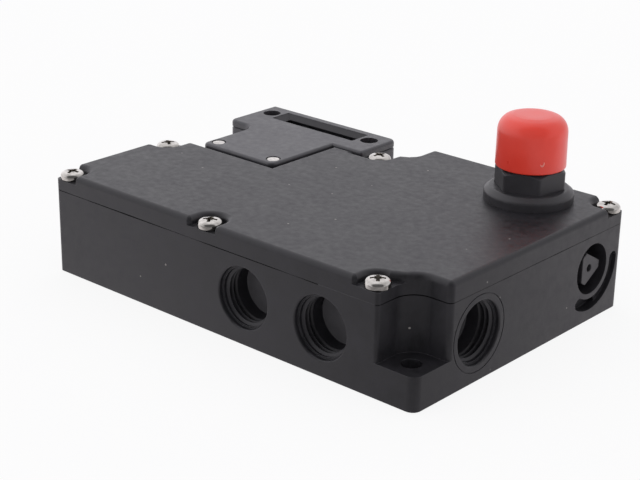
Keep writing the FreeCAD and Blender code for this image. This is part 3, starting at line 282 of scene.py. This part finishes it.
capLook = {
    "dark": shade(238, 60, 44),
    "light": shade(250, 74, 56),
    # edge colour: rubbed plastic and painted highlight
    "rubbedAndHighlit": shade(244, 120, 106),
    "wearAndHighlight": 0.4,
    "roughness": 0.3,
    "specular": 0.75,
    "edge": 0.3 * mm,
    "cloud": 5 * mm,
    "cloudy": 0.12,
    "grain": 0.35 * mm,
    "depth": 0.006 * mm,
    "dust": shade(250, 206, 200),
    "dustAmount": 0.5,
    "dustSpacing": 4 * mm,
    "dustSize": 0.25 * mm,
    "dustShare": 0.04,
}


def capPlastic(name, look):
    finish = Finish(bpy.data.materials.new(name))
    place = finish.place()
    cloud = finish.noise(place, look["cloud"], detail=3)
    grain = finish.noise(place, look["grain"], detail=2)
    dust = finish.specks(place, look["dustSpacing"], look["dustSize"], look["dustShare"])
    rounded = finish.rounded(look["edge"])
    # lighter colour along rounded edges: partly edge wear, partly painted highlight
    wearAndHighlight = finish.curve(finish.edgeLean(rounded), [(0.04, 0), (0.4, look["wearAndHighlight"])])
    colour = finish.mix(cloud, look["dark"], look["light"])
    colour = finish.mix(wearAndHighlight, colour, look["rubbedAndHighlit"])
    colour = finish.mix(dust * look["dustAmount"], colour, look["dust"])
    return finish.surface({
        "Base Color": colour,
        "Roughness": look["roughness"] + (cloud - 0.5) * look["cloudy"],
        "Specular IOR Level": look["specular"],
        "Normal": finish.bump(grain, look["depth"], rounded),
    })


# Metals, rubber and wire

def metal(name, look):
    finish = Finish(bpy.data.materials.new(name))
    place = finish.place()
    cloud = finish.noise(place, look["cloud"], detail=3)
    brushed = finish.noise(place, look["grain"], detail=2, stretch=look["stretch"])
    rounded = finish.rounded(look["edge"])
    tone = finish.curve(cloud, [(0.35, 0), (0.65, 1)])
    colour = finish.mix(tone, look["dark"], look["light"])
    # painted shade: the colour darkens towards a dark tone in the corners and recesses that the ambient
    # occlusion finds hidden
    settings = {"samples": 8}
    reached = finish.node("ShaderNodeAmbientOcclusion", settings, {"Distance": look["corner"]}, output=1)
    colour = finish.mix(finish.curve(reached, [(0.15, 0.85), (0.7, 0)]), colour, look["cornerShade"])
    return finish.surface({
        "Base Color": colour,
        "Metallic": 1.0,
        "Roughness": look["roughness"] + (brushed - 0.5) * 0.16 + (cloud - 0.5) * 0.12,
        "Normal": finish.bump(brushed, look["depth"], rounded),
    })


nickelLook = {
    "dark": shade(176, 173, 167), "light": shade(214, 211, 205), "cloud": 1.4 * mm, "edge": 0.12 * mm,
    "grain": 0.12 * mm, "stretch": (1, 1, 1), "depth": 0.0015 * mm, "roughness": 0.11, "corner": 1.2 * mm,
    # the darkest painted shade, used in hidden corners and recesses
    "cornerShade": shade(60, 56, 50),
}
# rougher nickel for the cross recesses; its darker colour is painted shade
dullShadedLook = dict(nickelLook, dark=shade(120, 114, 104), light=shade(160, 154, 142), roughness=0.38)
steelLook = dict(nickelLook, dark=shade(140, 140, 140), light=shade(176, 176, 176), roughness=0.36)
zincLook = dict(steelLook, dark=shade(120, 121, 124), light=shade(150, 151, 154), roughness=0.48)
alloyLook = dict(nickelLook, dark=shade(190, 152, 88), light=shade(214, 178, 112), roughness=0.3)
copperLook = dict(
    nickelLook, dark=shade(150, 72, 36), light=shade(190, 98, 52), roughness=0.3,
    grain=0.3 * mm, stretch=(6, 0.4, 0.4), depth=0.03 * mm,
)


rubberLook = {
    "dark": shade(20, 20, 20),
    "light": shade(32, 32, 32),
    "cloud": 1 * mm,
    "roughness": 0.7,
    "depth": 0.01 * mm,
}


def rubber(name, look):
    finish = Finish(bpy.data.materials.new(name))
    cloud = finish.noise(finish.place(), look["cloud"], detail=3)
    return finish.surface({
        "Base Color": finish.mix(cloud, look["dark"], look["light"]),
        "Roughness": look["roughness"] + (cloud - 0.5) * 0.2,
        "Normal": finish.bump(cloud, look["depth"]),
    })


finishes = {
    "housing_plastic": mouldedPlastic("housingPlastic", housingLook),
    "head_plastic": mouldedPlastic("headPlastic", headLook),
    "inner_plastic": mouldedPlastic("innerPlastic", innerLook),
    "acetal": mouldedPlastic("acetal", acetalLook),
    "black_plastic": mouldedPlastic("buttonPlastic", buttonLook),
    "red_plastic": capPlastic("capPlastic", capLook),
    "nickel_steel": metal("nickel", nickelLook),
    "steel": metal("steel", steelLook),
    "zinc": metal("zinc", zincLook),
    "contact_alloy": metal("contactAlloy", alloyLook),
    "copper": metal("copperWire", copperLook),
    "rubber": rubber("rubber", rubberLook),
}
nickLook = dict(capLook, dark=shade(240, 132, 118), light=shade(250, 160, 146))
nickPlastic = capPlastic("nickPlastic", nickLook)
litMembranePlastic = mouldedPlastic("litMembranePlastic", litMembraneLook)
nickelDullShaded = metal("nickelDullShaded", dullShadedLook)
for entry in frame["record"]["subparts"]:
    mesh = nodes[entry["node"]].data
    mesh.materials.clear()
    mesh.materials.append(finishes[entry["material_slot"]])
print("finishes assigned")


# Making pieces

def piece(name, shape, materials, body="housing", sharp=30):
    mesh = bpy.data.meshes.new(name)
    bmesh.ops.recalc_face_normals(shape, faces=shape.faces)
    shape.to_mesh(mesh)
    shape.free()
    for face in mesh.polygons:
        face.use_smooth = True
    mesh.set_sharp_from_angle(angle=math.radians(sharp))
    for material in materials:
        mesh.materials.append(material)
    made = bpy.data.objects.new(name, mesh)
    bpy.context.scene.collection.objects.link(made)
    if body:
        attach(made, body)
    return made


def lathe(shape, profile, steps, place, part=0):
    # profile of (radius, height) turned about the z axis of place; ends on the axis close to a point
    rings = []
    for radius, height in profile:
        if radius == 0:
            rings.append([shape.verts.new(place @ Vector((0, 0, height)))])
            continue
        ring = []
        for step in range(steps):
            turn = 2 * math.pi * step / steps
            point = Vector((radius * math.cos(turn), radius * math.sin(turn), height))
            ring.append(shape.verts.new(place @ point))
        rings.append(ring)
    for lower, upper in zip(rings, rings[1:]):
        for step in range(steps):
            near = (step + 1) % steps
            corners = [lower[step % len(lower)], lower[near % len(lower)]]
            corners += [upper[near % len(upper)], upper[step % len(upper)]]
            face = shape.faces.new(list(dict.fromkeys(corners)))
            face.material_index = part


def sweep(shape, sections):
    # skin through closed sections of as many points each, with both ends capped
    before = None
    for section in sections:
        ring = [shape.verts.new(point) for point in section]
        if before:
            for step in range(len(ring)):
                near = (step + 1) % len(ring)
                shape.faces.new([before[step], before[near], ring[near], ring[step]])
        else:
            shape.faces.new(ring[::-1])
        before = ring
    shape.faces.new(before)


# Cover screws

screwLook = {
    "radius": 3.35 * mm,
    "height": 2.35 * mm,
    "foot": 0.15 * mm,
    "sideHeight": 0.9 * mm,
    "crown": 0.3 * mm,
    "shankRadius": 1.6 * mm,
    "threadDepth": 0.35 * mm,
    "threadPitch": 1.25 * mm,
    "shankLength": 14 * mm,
    "recessReach": 2.35 * mm,
    "recessHalf": 0.5 * mm,
    "recessDepth": 1.3 * mm,
    "floorReach": 0.45,
    "floorWidth": 0.6,
    "tickReach": 1.35 * mm,
    "tickHalf": 0.18 * mm,
    "places": [(3.4, 3.4), (3.4, 40.0), (58.3, 3.4), (56.0, 75.0), (115.0, 3.4), (126.6, 86.6)],
    "turns": [12, 58, 30, 75, 40, 5],
}


def screwProfile(look):
    # flat under the head, short straight side, rounded shoulder, low crown
    radius = look["radius"]
    side = look["sideHeight"]
    top = look["height"]
    shoulder = top - look["crown"] - side
    outline = [(look["shankRadius"], 0), (radius - look["foot"], 0), (radius, look["foot"]), (radius, side)]
    for step in range(1, 8):
        turn = math.pi / 2 * step / 7
        outline.append((radius - shoulder * (1 - math.cos(turn)), side + shoulder * math.sin(turn)))
    flat = radius - shoulder
    for step in range(1, 6):
        share = 1 - step / 5
        outline.append((flat * share, top - look["crown"] * share * share))
    return outline


def shankProfile(look):
    tip = -look["shankLength"]
    radius = look["shankRadius"]
    outline = [(0, tip), (radius * 0.5, tip + 0.6 * mm)]
    turns = int((look["shankLength"] - 1.2 * mm) / look["threadPitch"])
    start = tip + 1.0 * mm
    for turn in range(turns):
        base = start + turn * look["threadPitch"]
        outline.append((radius - look["threadDepth"], base))
        outline.append((radius, base + look["threadPitch"] / 2))
    return outline


def crossCutter(look, place):
    # four tapered arms with a small tick between each pair
    shape = bmesh.new()
    top = look["height"] + 0.2 * mm
    floor = look["height"] - look["recessDepth"]
    arms = [(look["recessReach"], look["recessHalf"], 0), (look["tickReach"], look["tickHalf"], 45)]
    for reach, half, start in arms:
        for quarter in range(4):
            turn = Matrix.Rotation(math.radians(start + 90 * quarter), 4, "Z")
            upper = [(0, -half), (reach, -half), (reach, half), (0, half)]
            narrow, short = half * look["floorWidth"], reach * look["floorReach"]
            lower = [(0, -narrow), (short, -narrow), (short, narrow), (0, narrow)]
            ring = [[shape.verts.new(place @ turn @ Vector((x, y, z))) for x, y in corners]
                    for corners, z in ((lower, floor), (upper, top))]
            shape.faces.new(ring[0][::-1])
            shape.faces.new(ring[1])
            for step in range(4):
                near = (step + 1) % 4
                shape.faces.new([ring[0][step], ring[0][near], ring[1][near], ring[1][step]])
    return shape


def cut(target, cutter, inside):
    # exact difference, with the result kept as the target's own mesh; cut faces take the inside material
    mesh = bpy.data.meshes.new("cutter")
    mesh.materials.append(inside)
    bmesh.ops.recalc_face_normals(cutter, faces=cutter.faces)
    cutter.to_mesh(mesh)
    cutter.free()
    tool = bpy.data.objects.new("cutter", mesh)
    bpy.context.scene.collection.objects.link(tool)
    change = target.modifiers.new("recess", "BOOLEAN")
    change.operation = "DIFFERENCE"
    change.solver = "EXACT"
    change.use_self = True
    change.material_mode = "TRANSFER"
    change.object = tool
    bpy.context.view_layer.update()
    made = bpy.data.meshes.new_from_object(target.evaluated_get(bpy.context.evaluated_depsgraph_get()))
    target.modifiers.clear()
    target.data = made
    bpy.data.objects.remove(tool)
    made.set_sharp_from_angle(angle=math.radians(30))


def coverScrews(look):
    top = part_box("cover_screws")[1][2]
    seat = top - look["height"]
    heads = bmesh.new()
    cutters = bmesh.new()
    for (x, y), turn in zip(look["places"], look["turns"]):
        centre = Vector((origin.x + x * mm, origin.y + y * mm, seat))
        place = Matrix.Translation(centre) @ Matrix.Rotation(math.radians(turn), 4, "Z")
        lathe(heads, shankProfile(look) + screwProfile(look), 48, place)
        one = crossCutter(look, place)
        mesh = bpy.data.meshes.new("cross")
        one.to_mesh(mesh)
        one.free()
        cutters.from_mesh(mesh)
        bpy.data.meshes.remove(mesh)
    screws = piece("coverScrewSet", heads, [finishes["nickel_steel"]])
    # the cut faces of the cross recesses take the rougher nickel, whose darker colour is painted shade
    cut(screws, cutters, nickelDullShaded)
    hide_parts("cover_screws")


coverScrews(screwLook)
print("cover screws made")


# Springs: round wire with closed end turns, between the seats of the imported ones

springLooks = {
    "buttonSpring": {
        "node": "button_spring", "wire": 0.8 * mm, "turns": 5, "axis": 2, "seat": "low", "rides": "housing",
    },
    "slideSpring": {
        "node": "slide_spring", "wire": 0.7 * mm, "turns": 5, "axis": 1, "seat": "low", "rides": "housing",
    },
    "boltSpring": {
        "node": "bolt_spring", "wire": 0.7 * mm, "turns": 6, "axis": 0, "seat": "high", "rides": None,
    },
}
stepsPerTurn = 28
wireSides = 10


def spring(name, look):
    low, high = (Vector(corner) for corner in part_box(look["node"]))
    axis = look["axis"]
    across = [way for way in range(3) if way != axis]
    half = look["wire"] / 2
    mean = (high[across[0]] - low[across[0]]) / 2 - half
    middle = (low + high) / 2
    length = high[axis] - low[axis] - look["wire"]
    sections = []
    steps = stepsPerTurn * look["turns"]
    for step in range(steps + 1):
        share = step / steps
        turn = 2 * math.pi * look["turns"] * share
        # the end turns lie nearly flat, the ones between rise evenly
        rise = min(1, max(0, (share * look["turns"] - 0.6) / (look["turns"] - 1.2)))
        flat = 0.04 * (share - rise)
        along = low[axis] + half + length * min(1, max(0, rise + flat))
        section = []
        for part in range(wireSides):
            swing = 2 * math.pi * part / wireSides
            reach = mean + half * math.cos(swing)
            point = middle.copy()
            point[across[0]] += reach * math.cos(turn)
            point[across[1]] += reach * math.sin(turn)
            point[axis] = along + half * math.sin(swing)
            section.append(point)
        sections.append(section)
    shape = bmesh.new()
    sweep(shape, sections)
    made = piece(name, shape, [finishes["steel"]], body=look["rides"], sharp=60)
    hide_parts(look["node"])
    ends = [middle.copy(), middle.copy()]
    ends[0][axis], ends[1][axis] = low[axis], high[axis]
    return made, ends if look["seat"] == "low" else ends[::-1]


def springs(looks):
    made, ends = spring("buttonSpring", looks["buttonSpring"])
    length = (ends[1] - ends[0]).length
    1 - travels["exit_press"] / length
    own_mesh(made)
    made, ends = spring("slideSpring", looks["slideSpring"])
    length = (ends[1] - ends[0]).length
    1 - travels["slide_travel"] / length
    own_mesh(made)
    made, ends = spring("boltSpring", looks["boltSpring"])
    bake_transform(made)


springs(springLooks)
print("springs made")


# Cable entries

entryLook = {
    "wall": 8.03 * mm,
    "crest": 7.2 * mm,
    "flank": 0.55 * mm,
    "crestHalf": 0.1 * mm,
    "pitch": 1.35 * mm,
    "firstTurn": 2.05 * mm,
    "turns": 2.1,
    "steps": 96,
    "sleeveStart": 5.1 * mm,
    "sleeveRadius": 7.3 * mm,
    "membraneDepth": 9.42 * mm,
    "mouths": {
        "entryFrontLeft": ((73.3, 0, 13), (0, 1, 0)),
        "entryFrontRight": ((99.8, 0, 13), (0, 1, 0)),
        "entryEndRight": ((130, 24.9, 13), (-1, 0, 0)),
        "entryEndLeft": ((0, 24.9, 13), (1, 0, 0)),
    },
}


def thread(shape, look, place):
    # one helical ridge whose ends run out into the wall
    steps = look["steps"]
    total = int(steps * look["turns"])
    sections = []
    for step in range(total + 1):
        turn = 2 * math.pi * step / steps
        fade = min(1, step / 12, (total - step) / 12)
        crest = look["wall"] - (look["wall"] - look["crest"]) * fade
        depth = look["firstTurn"] + look["pitch"] * step / steps
        corners = [
            (look["wall"], depth - look["flank"]), (crest, depth - look["crestHalf"]),
            (crest, depth + look["crestHalf"]), (look["wall"], depth + look["flank"]),
        ]
        sections.append([place @ Vector((r * math.cos(turn), r * math.sin(turn), z)) for r, z in corners])
    sweep(shape, sections)


def entryLining(name, mouth, inward, look):
    centre = origin + Vector(mouth) * mm
    turn = Vector((0, 0, 1)).rotation_difference(Vector(inward)).to_matrix().to_4x4()
    place = Matrix.Translation(centre) @ turn
    shape = bmesh.new()
    thread(shape, look, place)
    start = look["sleeveStart"]
    radius = look["sleeveRadius"]
    depth = look["membraneDepth"]
    lathe(shape, [
        (look["wall"], depth + 0.05 * mm), (look["wall"], start),
        (radius + 0.2 * mm, start + 0.25 * mm), (radius, start + 0.5 * mm), (radius, depth - 0.15 * mm),
    ], look["steps"], place)
    # membrane disc at the bottom of the bore, in the lighter membrane plastic: painted light
    lathe(shape, [
        (radius, depth - 0.15 * mm), (radius - 0.3 * mm, depth),
        (radius * 0.5, depth + 0.03 * mm), (0, depth + 0.03 * mm),
    ], look["steps"], place, part=1)
    piece(name, shape, [finishes["housing_plastic"], litMembranePlastic])


for name, (mouth, inward) in entryLook["mouths"].items():
    entryLining(name, mouth, inward, entryLook)
print("entry threads made")


# Lead-in of the actuator window

leadLook = {
    "window": (8.5, 79.5, 41.5, 87.1),
    "top": 29.72 * mm,
    "drop": 1.35 * mm,
    "skirt": 0.25 * mm,
    "sideRun": 2.4,
    "rearRun": 1.7,
    "overlap": 0.04,
}


def leadIn(look):
    left, front, right, rear = look["window"]
    grow = look["overlap"]
    sideRun, rearRun = look["sideRun"], look["rearRun"]
    top = look["top"]
    shape = bmesh.new()

    def ring(sides, back, height):
        near, far = left + sides, right - sides
        places = [(near, front), (near, rear - back), (far, rear - back), (far, front)]
        return [shape.verts.new(origin + Vector((x * mm, y * mm, height))) for x, y in places]

    rings = [
        ring(-grow, -grow, top),
        ring(sideRun, rearRun, top - look["drop"]),
        ring(sideRun, rearRun, top - look["drop"] - look["skirt"]),
        ring(-grow, -grow, top - look["drop"] - look["skirt"]),
    ]
    rings.append(rings[0])
    for upper, lower in zip(rings, rings[1:]):
        for step in range(3):
            shape.faces.new([upper[step], upper[step + 1], lower[step + 1], lower[step]])
    shape.faces.new([loop[0] for loop in rings[:4]])
    shape.faces.new([loop[3] for loop in rings[:4]])
    piece("windowLeadIn", shape, [finishes["housing_plastic"]])


leadIn(leadLook)
print("window lead-in made")


# Button cap

capShape = {
    "bottom": 39.75 * mm,
    "top": 53.75 * mm,
    "skirtRadius": 9.55 * mm,
    "sideRadius": 9.46 * mm,
    "wall": 1.6 * mm,
    "lip": 0.35 * mm,
    "shoulder": [
        (0, 4.7 * mm), (0.02 * mm, 2.75 * mm), (1.05 * mm, 1.5 * mm),
        (1.85 * mm, 0.55 * mm), (2.9 * mm, 0.32 * mm),
    ],
    "rimRadius": 5.35 * mm,
    "markTurn": -38.0,
    "markHeight": 43.2 * mm,
    "markSize": 0.8 * mm,
    "markRelief": 0.22 * mm,
}


def arc(start, corner, end, steps):
    # a soft bend from start to end, pulled towards the corner
    points = []
    for step in range(steps + 1):
        share = step / steps
        points.append(tuple(
            (1 - share) ** 2 * a + 2 * share * (1 - share) * b + share ** 2 * c
            for a, b, c in zip(start, corner, end)
        ))
    return points


def buttonCap(look):
    low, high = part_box("button_cap")
    axis = Vector(((low[0] + high[0]) / 2, (low[1] + high[1]) / 2, 0))
    place = Matrix.Translation(axis)
    bottom = look["bottom"]
    top = look["top"]
    radius = look["skirtRadius"]
    side = look["sideRadius"]
    ceiling = top - 2 * look["wall"]
    inside = radius - look["wall"]
    shoulder = [(side - inward, top - down) for inward, down in look["shoulder"]]
    # hollow inside, lip, side, shoulder in two bends, rim and sunk top
    outline = [(0, ceiling), (inside - 1 * mm, ceiling), (inside, ceiling - 1 * mm), (inside, bottom)]
    outline += arc((radius - look["lip"], bottom), (radius, bottom), (radius, bottom + look["lip"]), 4)
    outline += arc(*shoulder[:3], 10)
    outline += arc(*shoulder[2:], 8)[1:]
    outline += [(look["rimRadius"] + 0.1 * mm, top - 0.03 * mm), (look["rimRadius"] - 0.1 * mm, top)]
    outline += [(look["rimRadius"] * 0.5, top - 0.02 * mm), (0, top - 0.03 * mm)]
    shape = bmesh.new()
    lathe(shape, outline, 128, place)
    for vert in shape.verts:
        # faint unevenness of the moulding, strongest on the shoulder
        away = vert.co - axis
        turn = math.atan2(away.y, away.x)
        lift = math.sin(3 * turn + 0.8) * 0.035 * mm + math.sin(5 * turn) * 0.02 * mm
        share = min(1, max(0, (vert.co.z - bottom) / (top - bottom) - 0.3))
        level = Vector((away.x, away.y, 0))
        if level.length > 5.6 * mm:
            vert.co += level.normalized() * min(0, lift * share)
    cap = piece("buttonCap", shape, [finishes["red_plastic"]], body="button")
    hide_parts("button_cap")
    capMark(look, axis)


def capMark(look, axis):
    # the small curved nick that the mould leaves low on the side
    turn = math.radians(look["markTurn"])
    out = Vector((math.cos(turn), math.sin(turn), 0))
    across = Vector((-math.sin(turn), math.cos(turn), 0))
    up = Vector((0, 0, 1))
    middle = axis + out * (look["skirtRadius"] - 0.06 * mm) + up * look["markHeight"]
    size = look["markSize"]
    relief = look["markRelief"]
    sections = []
    steps = 12
    for step in range(steps + 1):
        along = math.pi * (0.15 + 0.95 * step / steps)
        centre = middle + across * (-size * math.cos(along)) * 0.7 - up * (size * math.sin(along)) * 1.1
        thin = math.sin(math.pi * step / steps) * 0.8 + 0.2
        spread = (across * math.cos(along) * -0.7 + up * -1.1 * math.sin(along)).normalized()
        section = []
        for part in range(8):
            swing = 2 * math.pi * part / 8
            level = math.cos(swing) * relief * thin
            rise = math.sin(swing) * relief * 1.3 * thin
            section.append(centre + out * level * 0.8 + spread * rise)
        sections.append(section)
    shape = bmesh.new()
    sweep(shape, sections)
    piece("capNick", shape, [nickPlastic], body="button", sharp=60)


buttonCap(capShape)
print("button cap made")


# Rounded ends of the release slot

slotLook = {
    "axis": (75.2, 15.0),
    "inner": 8.5,
    "outer": 11.9,
    "ends": [(-130.0, 1, 3.0), (12.0, -1, 1.4)],
    "face": 129.98,
}


def slotEnds(look):
    # concave corner fillers that turn each square end into a half round
    shape = bmesh.new()
    half = (look["outer"] - look["inner"]) / 2
    middle = (look["outer"] + look["inner"]) / 2
    for start, side, depth in look["ends"]:
        for edge in (-1, 1):
            line = [(middle + edge * (half + 0.03), -0.03)]
            for step in range(9):
                turn = math.pi / 2 * step / 8
                line.append((middle + edge * half * math.cos(turn), half * (1 - math.sin(turn))))
            line.append((middle, -0.03))
            outline = []
            for radius, along in line:
                angle = math.radians(start) + side * along / middle
                y = look["axis"][0] + radius * math.cos(angle)
                z = look["axis"][1] + radius * math.sin(angle)
                outline.append((y, z))
            faces = (look["face"], look["face"] - depth)
            sweep(shape, [[origin + Vector((x, y, z)) * mm for y, z in outline] for x in faces])
    piece("releaseSlotEnds", shape, [finishes["housing_plastic"]])


slotEnds(slotLook)
print("release slot ends made")


# Floor, light and camera

stageLook = {
    "size": 3.0,
    "floorShade": 0.96,
    "floorTint": (1.0, 0.965, 1.0, 1),
    "shadow": 0.12,
    "nearShade": 0.3,
    "worldTint": (1.0, 0.985, 1.03, 1),
    "base": 0.7,
    "leftGain": 0.5,
    "leftWay": (-0.94, 0.26, 0.22),
    "eyeWay": (0.6, -0.7, 0.5),
    "eyeShade": 0.18,
}


def whiteFloor(look):
    finish = Finish(bpy.data.materials.new("floorWhite"))
    camera = finish.node("ShaderNodeLightPath", output=0)
    glossy = finish.node("ShaderNodeLightPath", output=3)
    through = finish.node("ShaderNodeLightPath", output=6)
    place = finish.place()
    # the floor gives less light in front than behind, from the front right corner to the rear left
    away = finish.part(place, 1) * 0.73 - finish.part(place, 0) * 0.68
    lit = finish.curve(away * 4 + 0.5, [(0.06, look["nearShade"]), (0.48, 1.0)])
    tint = finish.mix(camera, finish.mix(lit, (0, 0, 0, 1), look["floorTint"]), (1, 1, 1, 1))
    cloth = finish.node("ShaderNodeBsdfDiffuse", inputs={0: (look["floorShade"],) * 3 + (1,)})
    white = finish.node("ShaderNodeEmission", inputs={0: tint, 1: 1.0})
    seen = camera * (1 - look["shadow"]) + glossy + through
    both = finish.node("ShaderNodeMixShader", inputs={0: seen, 1: cloth, 2: white})
    finish.node("ShaderNodeOutputMaterial", inputs={0: both})
    return finish.owner


def floor(look):
    half = look["size"]
    mesh = bpy.data.meshes.new("floor")
    corners = [(-half, -half, 0), (half, -half, 0), (half, half, 0), (-half, half, 0)]
    mesh.from_pydata(corners, [], [(0, 1, 2, 3)])
    plane = bpy.data.objects.new("floor", mesh)
    bpy.context.scene.collection.objects.link(plane)
    mesh.materials.append(whiteFloor(look))
    plane.location = (0, 0, -0.0002)


def world(look):
    # soft surroundings, brighter to the left, with a darker patch where the room is behind the camera
    finish = Finish(bpy.data.worlds.new("studio"))
    way = finish.node("ShaderNodeTexCoord", output=0)

    def towards(direction):
        return finish.vector("DOT_PRODUCT", way, Vector(direction).normalized())

    left = finish.curve(towards(look["leftWay"]), [(0.0, 0), (1.0, 1)])
    patch = finish.curve(towards(look["eyeWay"]), [(0.55, 0), (0.75, 1)])
    glossy = finish.node("ShaderNodeLightPath", output=3)
    strength = (look["base"] + look["leftGain"] * left) * (1 - glossy * patch * (1 - look["eyeShade"]))
    camera = finish.node("ShaderNodeLightPath", output=0)
    lit = finish.node("ShaderNodeBackground", inputs={0: look["worldTint"], 1: strength})
    white = finish.node("ShaderNodeBackground", inputs={0: (1, 1, 1, 1), 1: 1.0})
    both = finish.node("ShaderNodeMixShader", inputs={0: camera, 1: lit, 2: white})
    finish.node("ShaderNodeOutputWorld", inputs={0: both})
    bpy.context.scene.world = finish.owner


cameraLook = {
    "lens": 89.0092,
    "sensor": 36,
    "place": (0.268637, -0.310729, 0.175753),
    "turn": (68.49876, -0.88662, 41.73958),
}


def camera(look):
    data = bpy.data.cameras.new("camera")
    data.lens = look["lens"]
    data.sensor_width = look["sensor"]
    eye = bpy.data.objects.new("camera", data)
    bpy.context.scene.collection.objects.link(eye)
    eye.location = look["place"]
    eye.rotation_euler = [math.radians(angle) for angle in look["turn"]]
    data.clip_start = 0.01
    data.clip_end = 20
    bpy.context.scene.camera = eye


floor(stageLook)
world(stageLook)
camera(cameraLook)
bpy.context.scene.view_settings.view_transform = "Standard"
print("stage set")

bpy.context.view_layer.update()
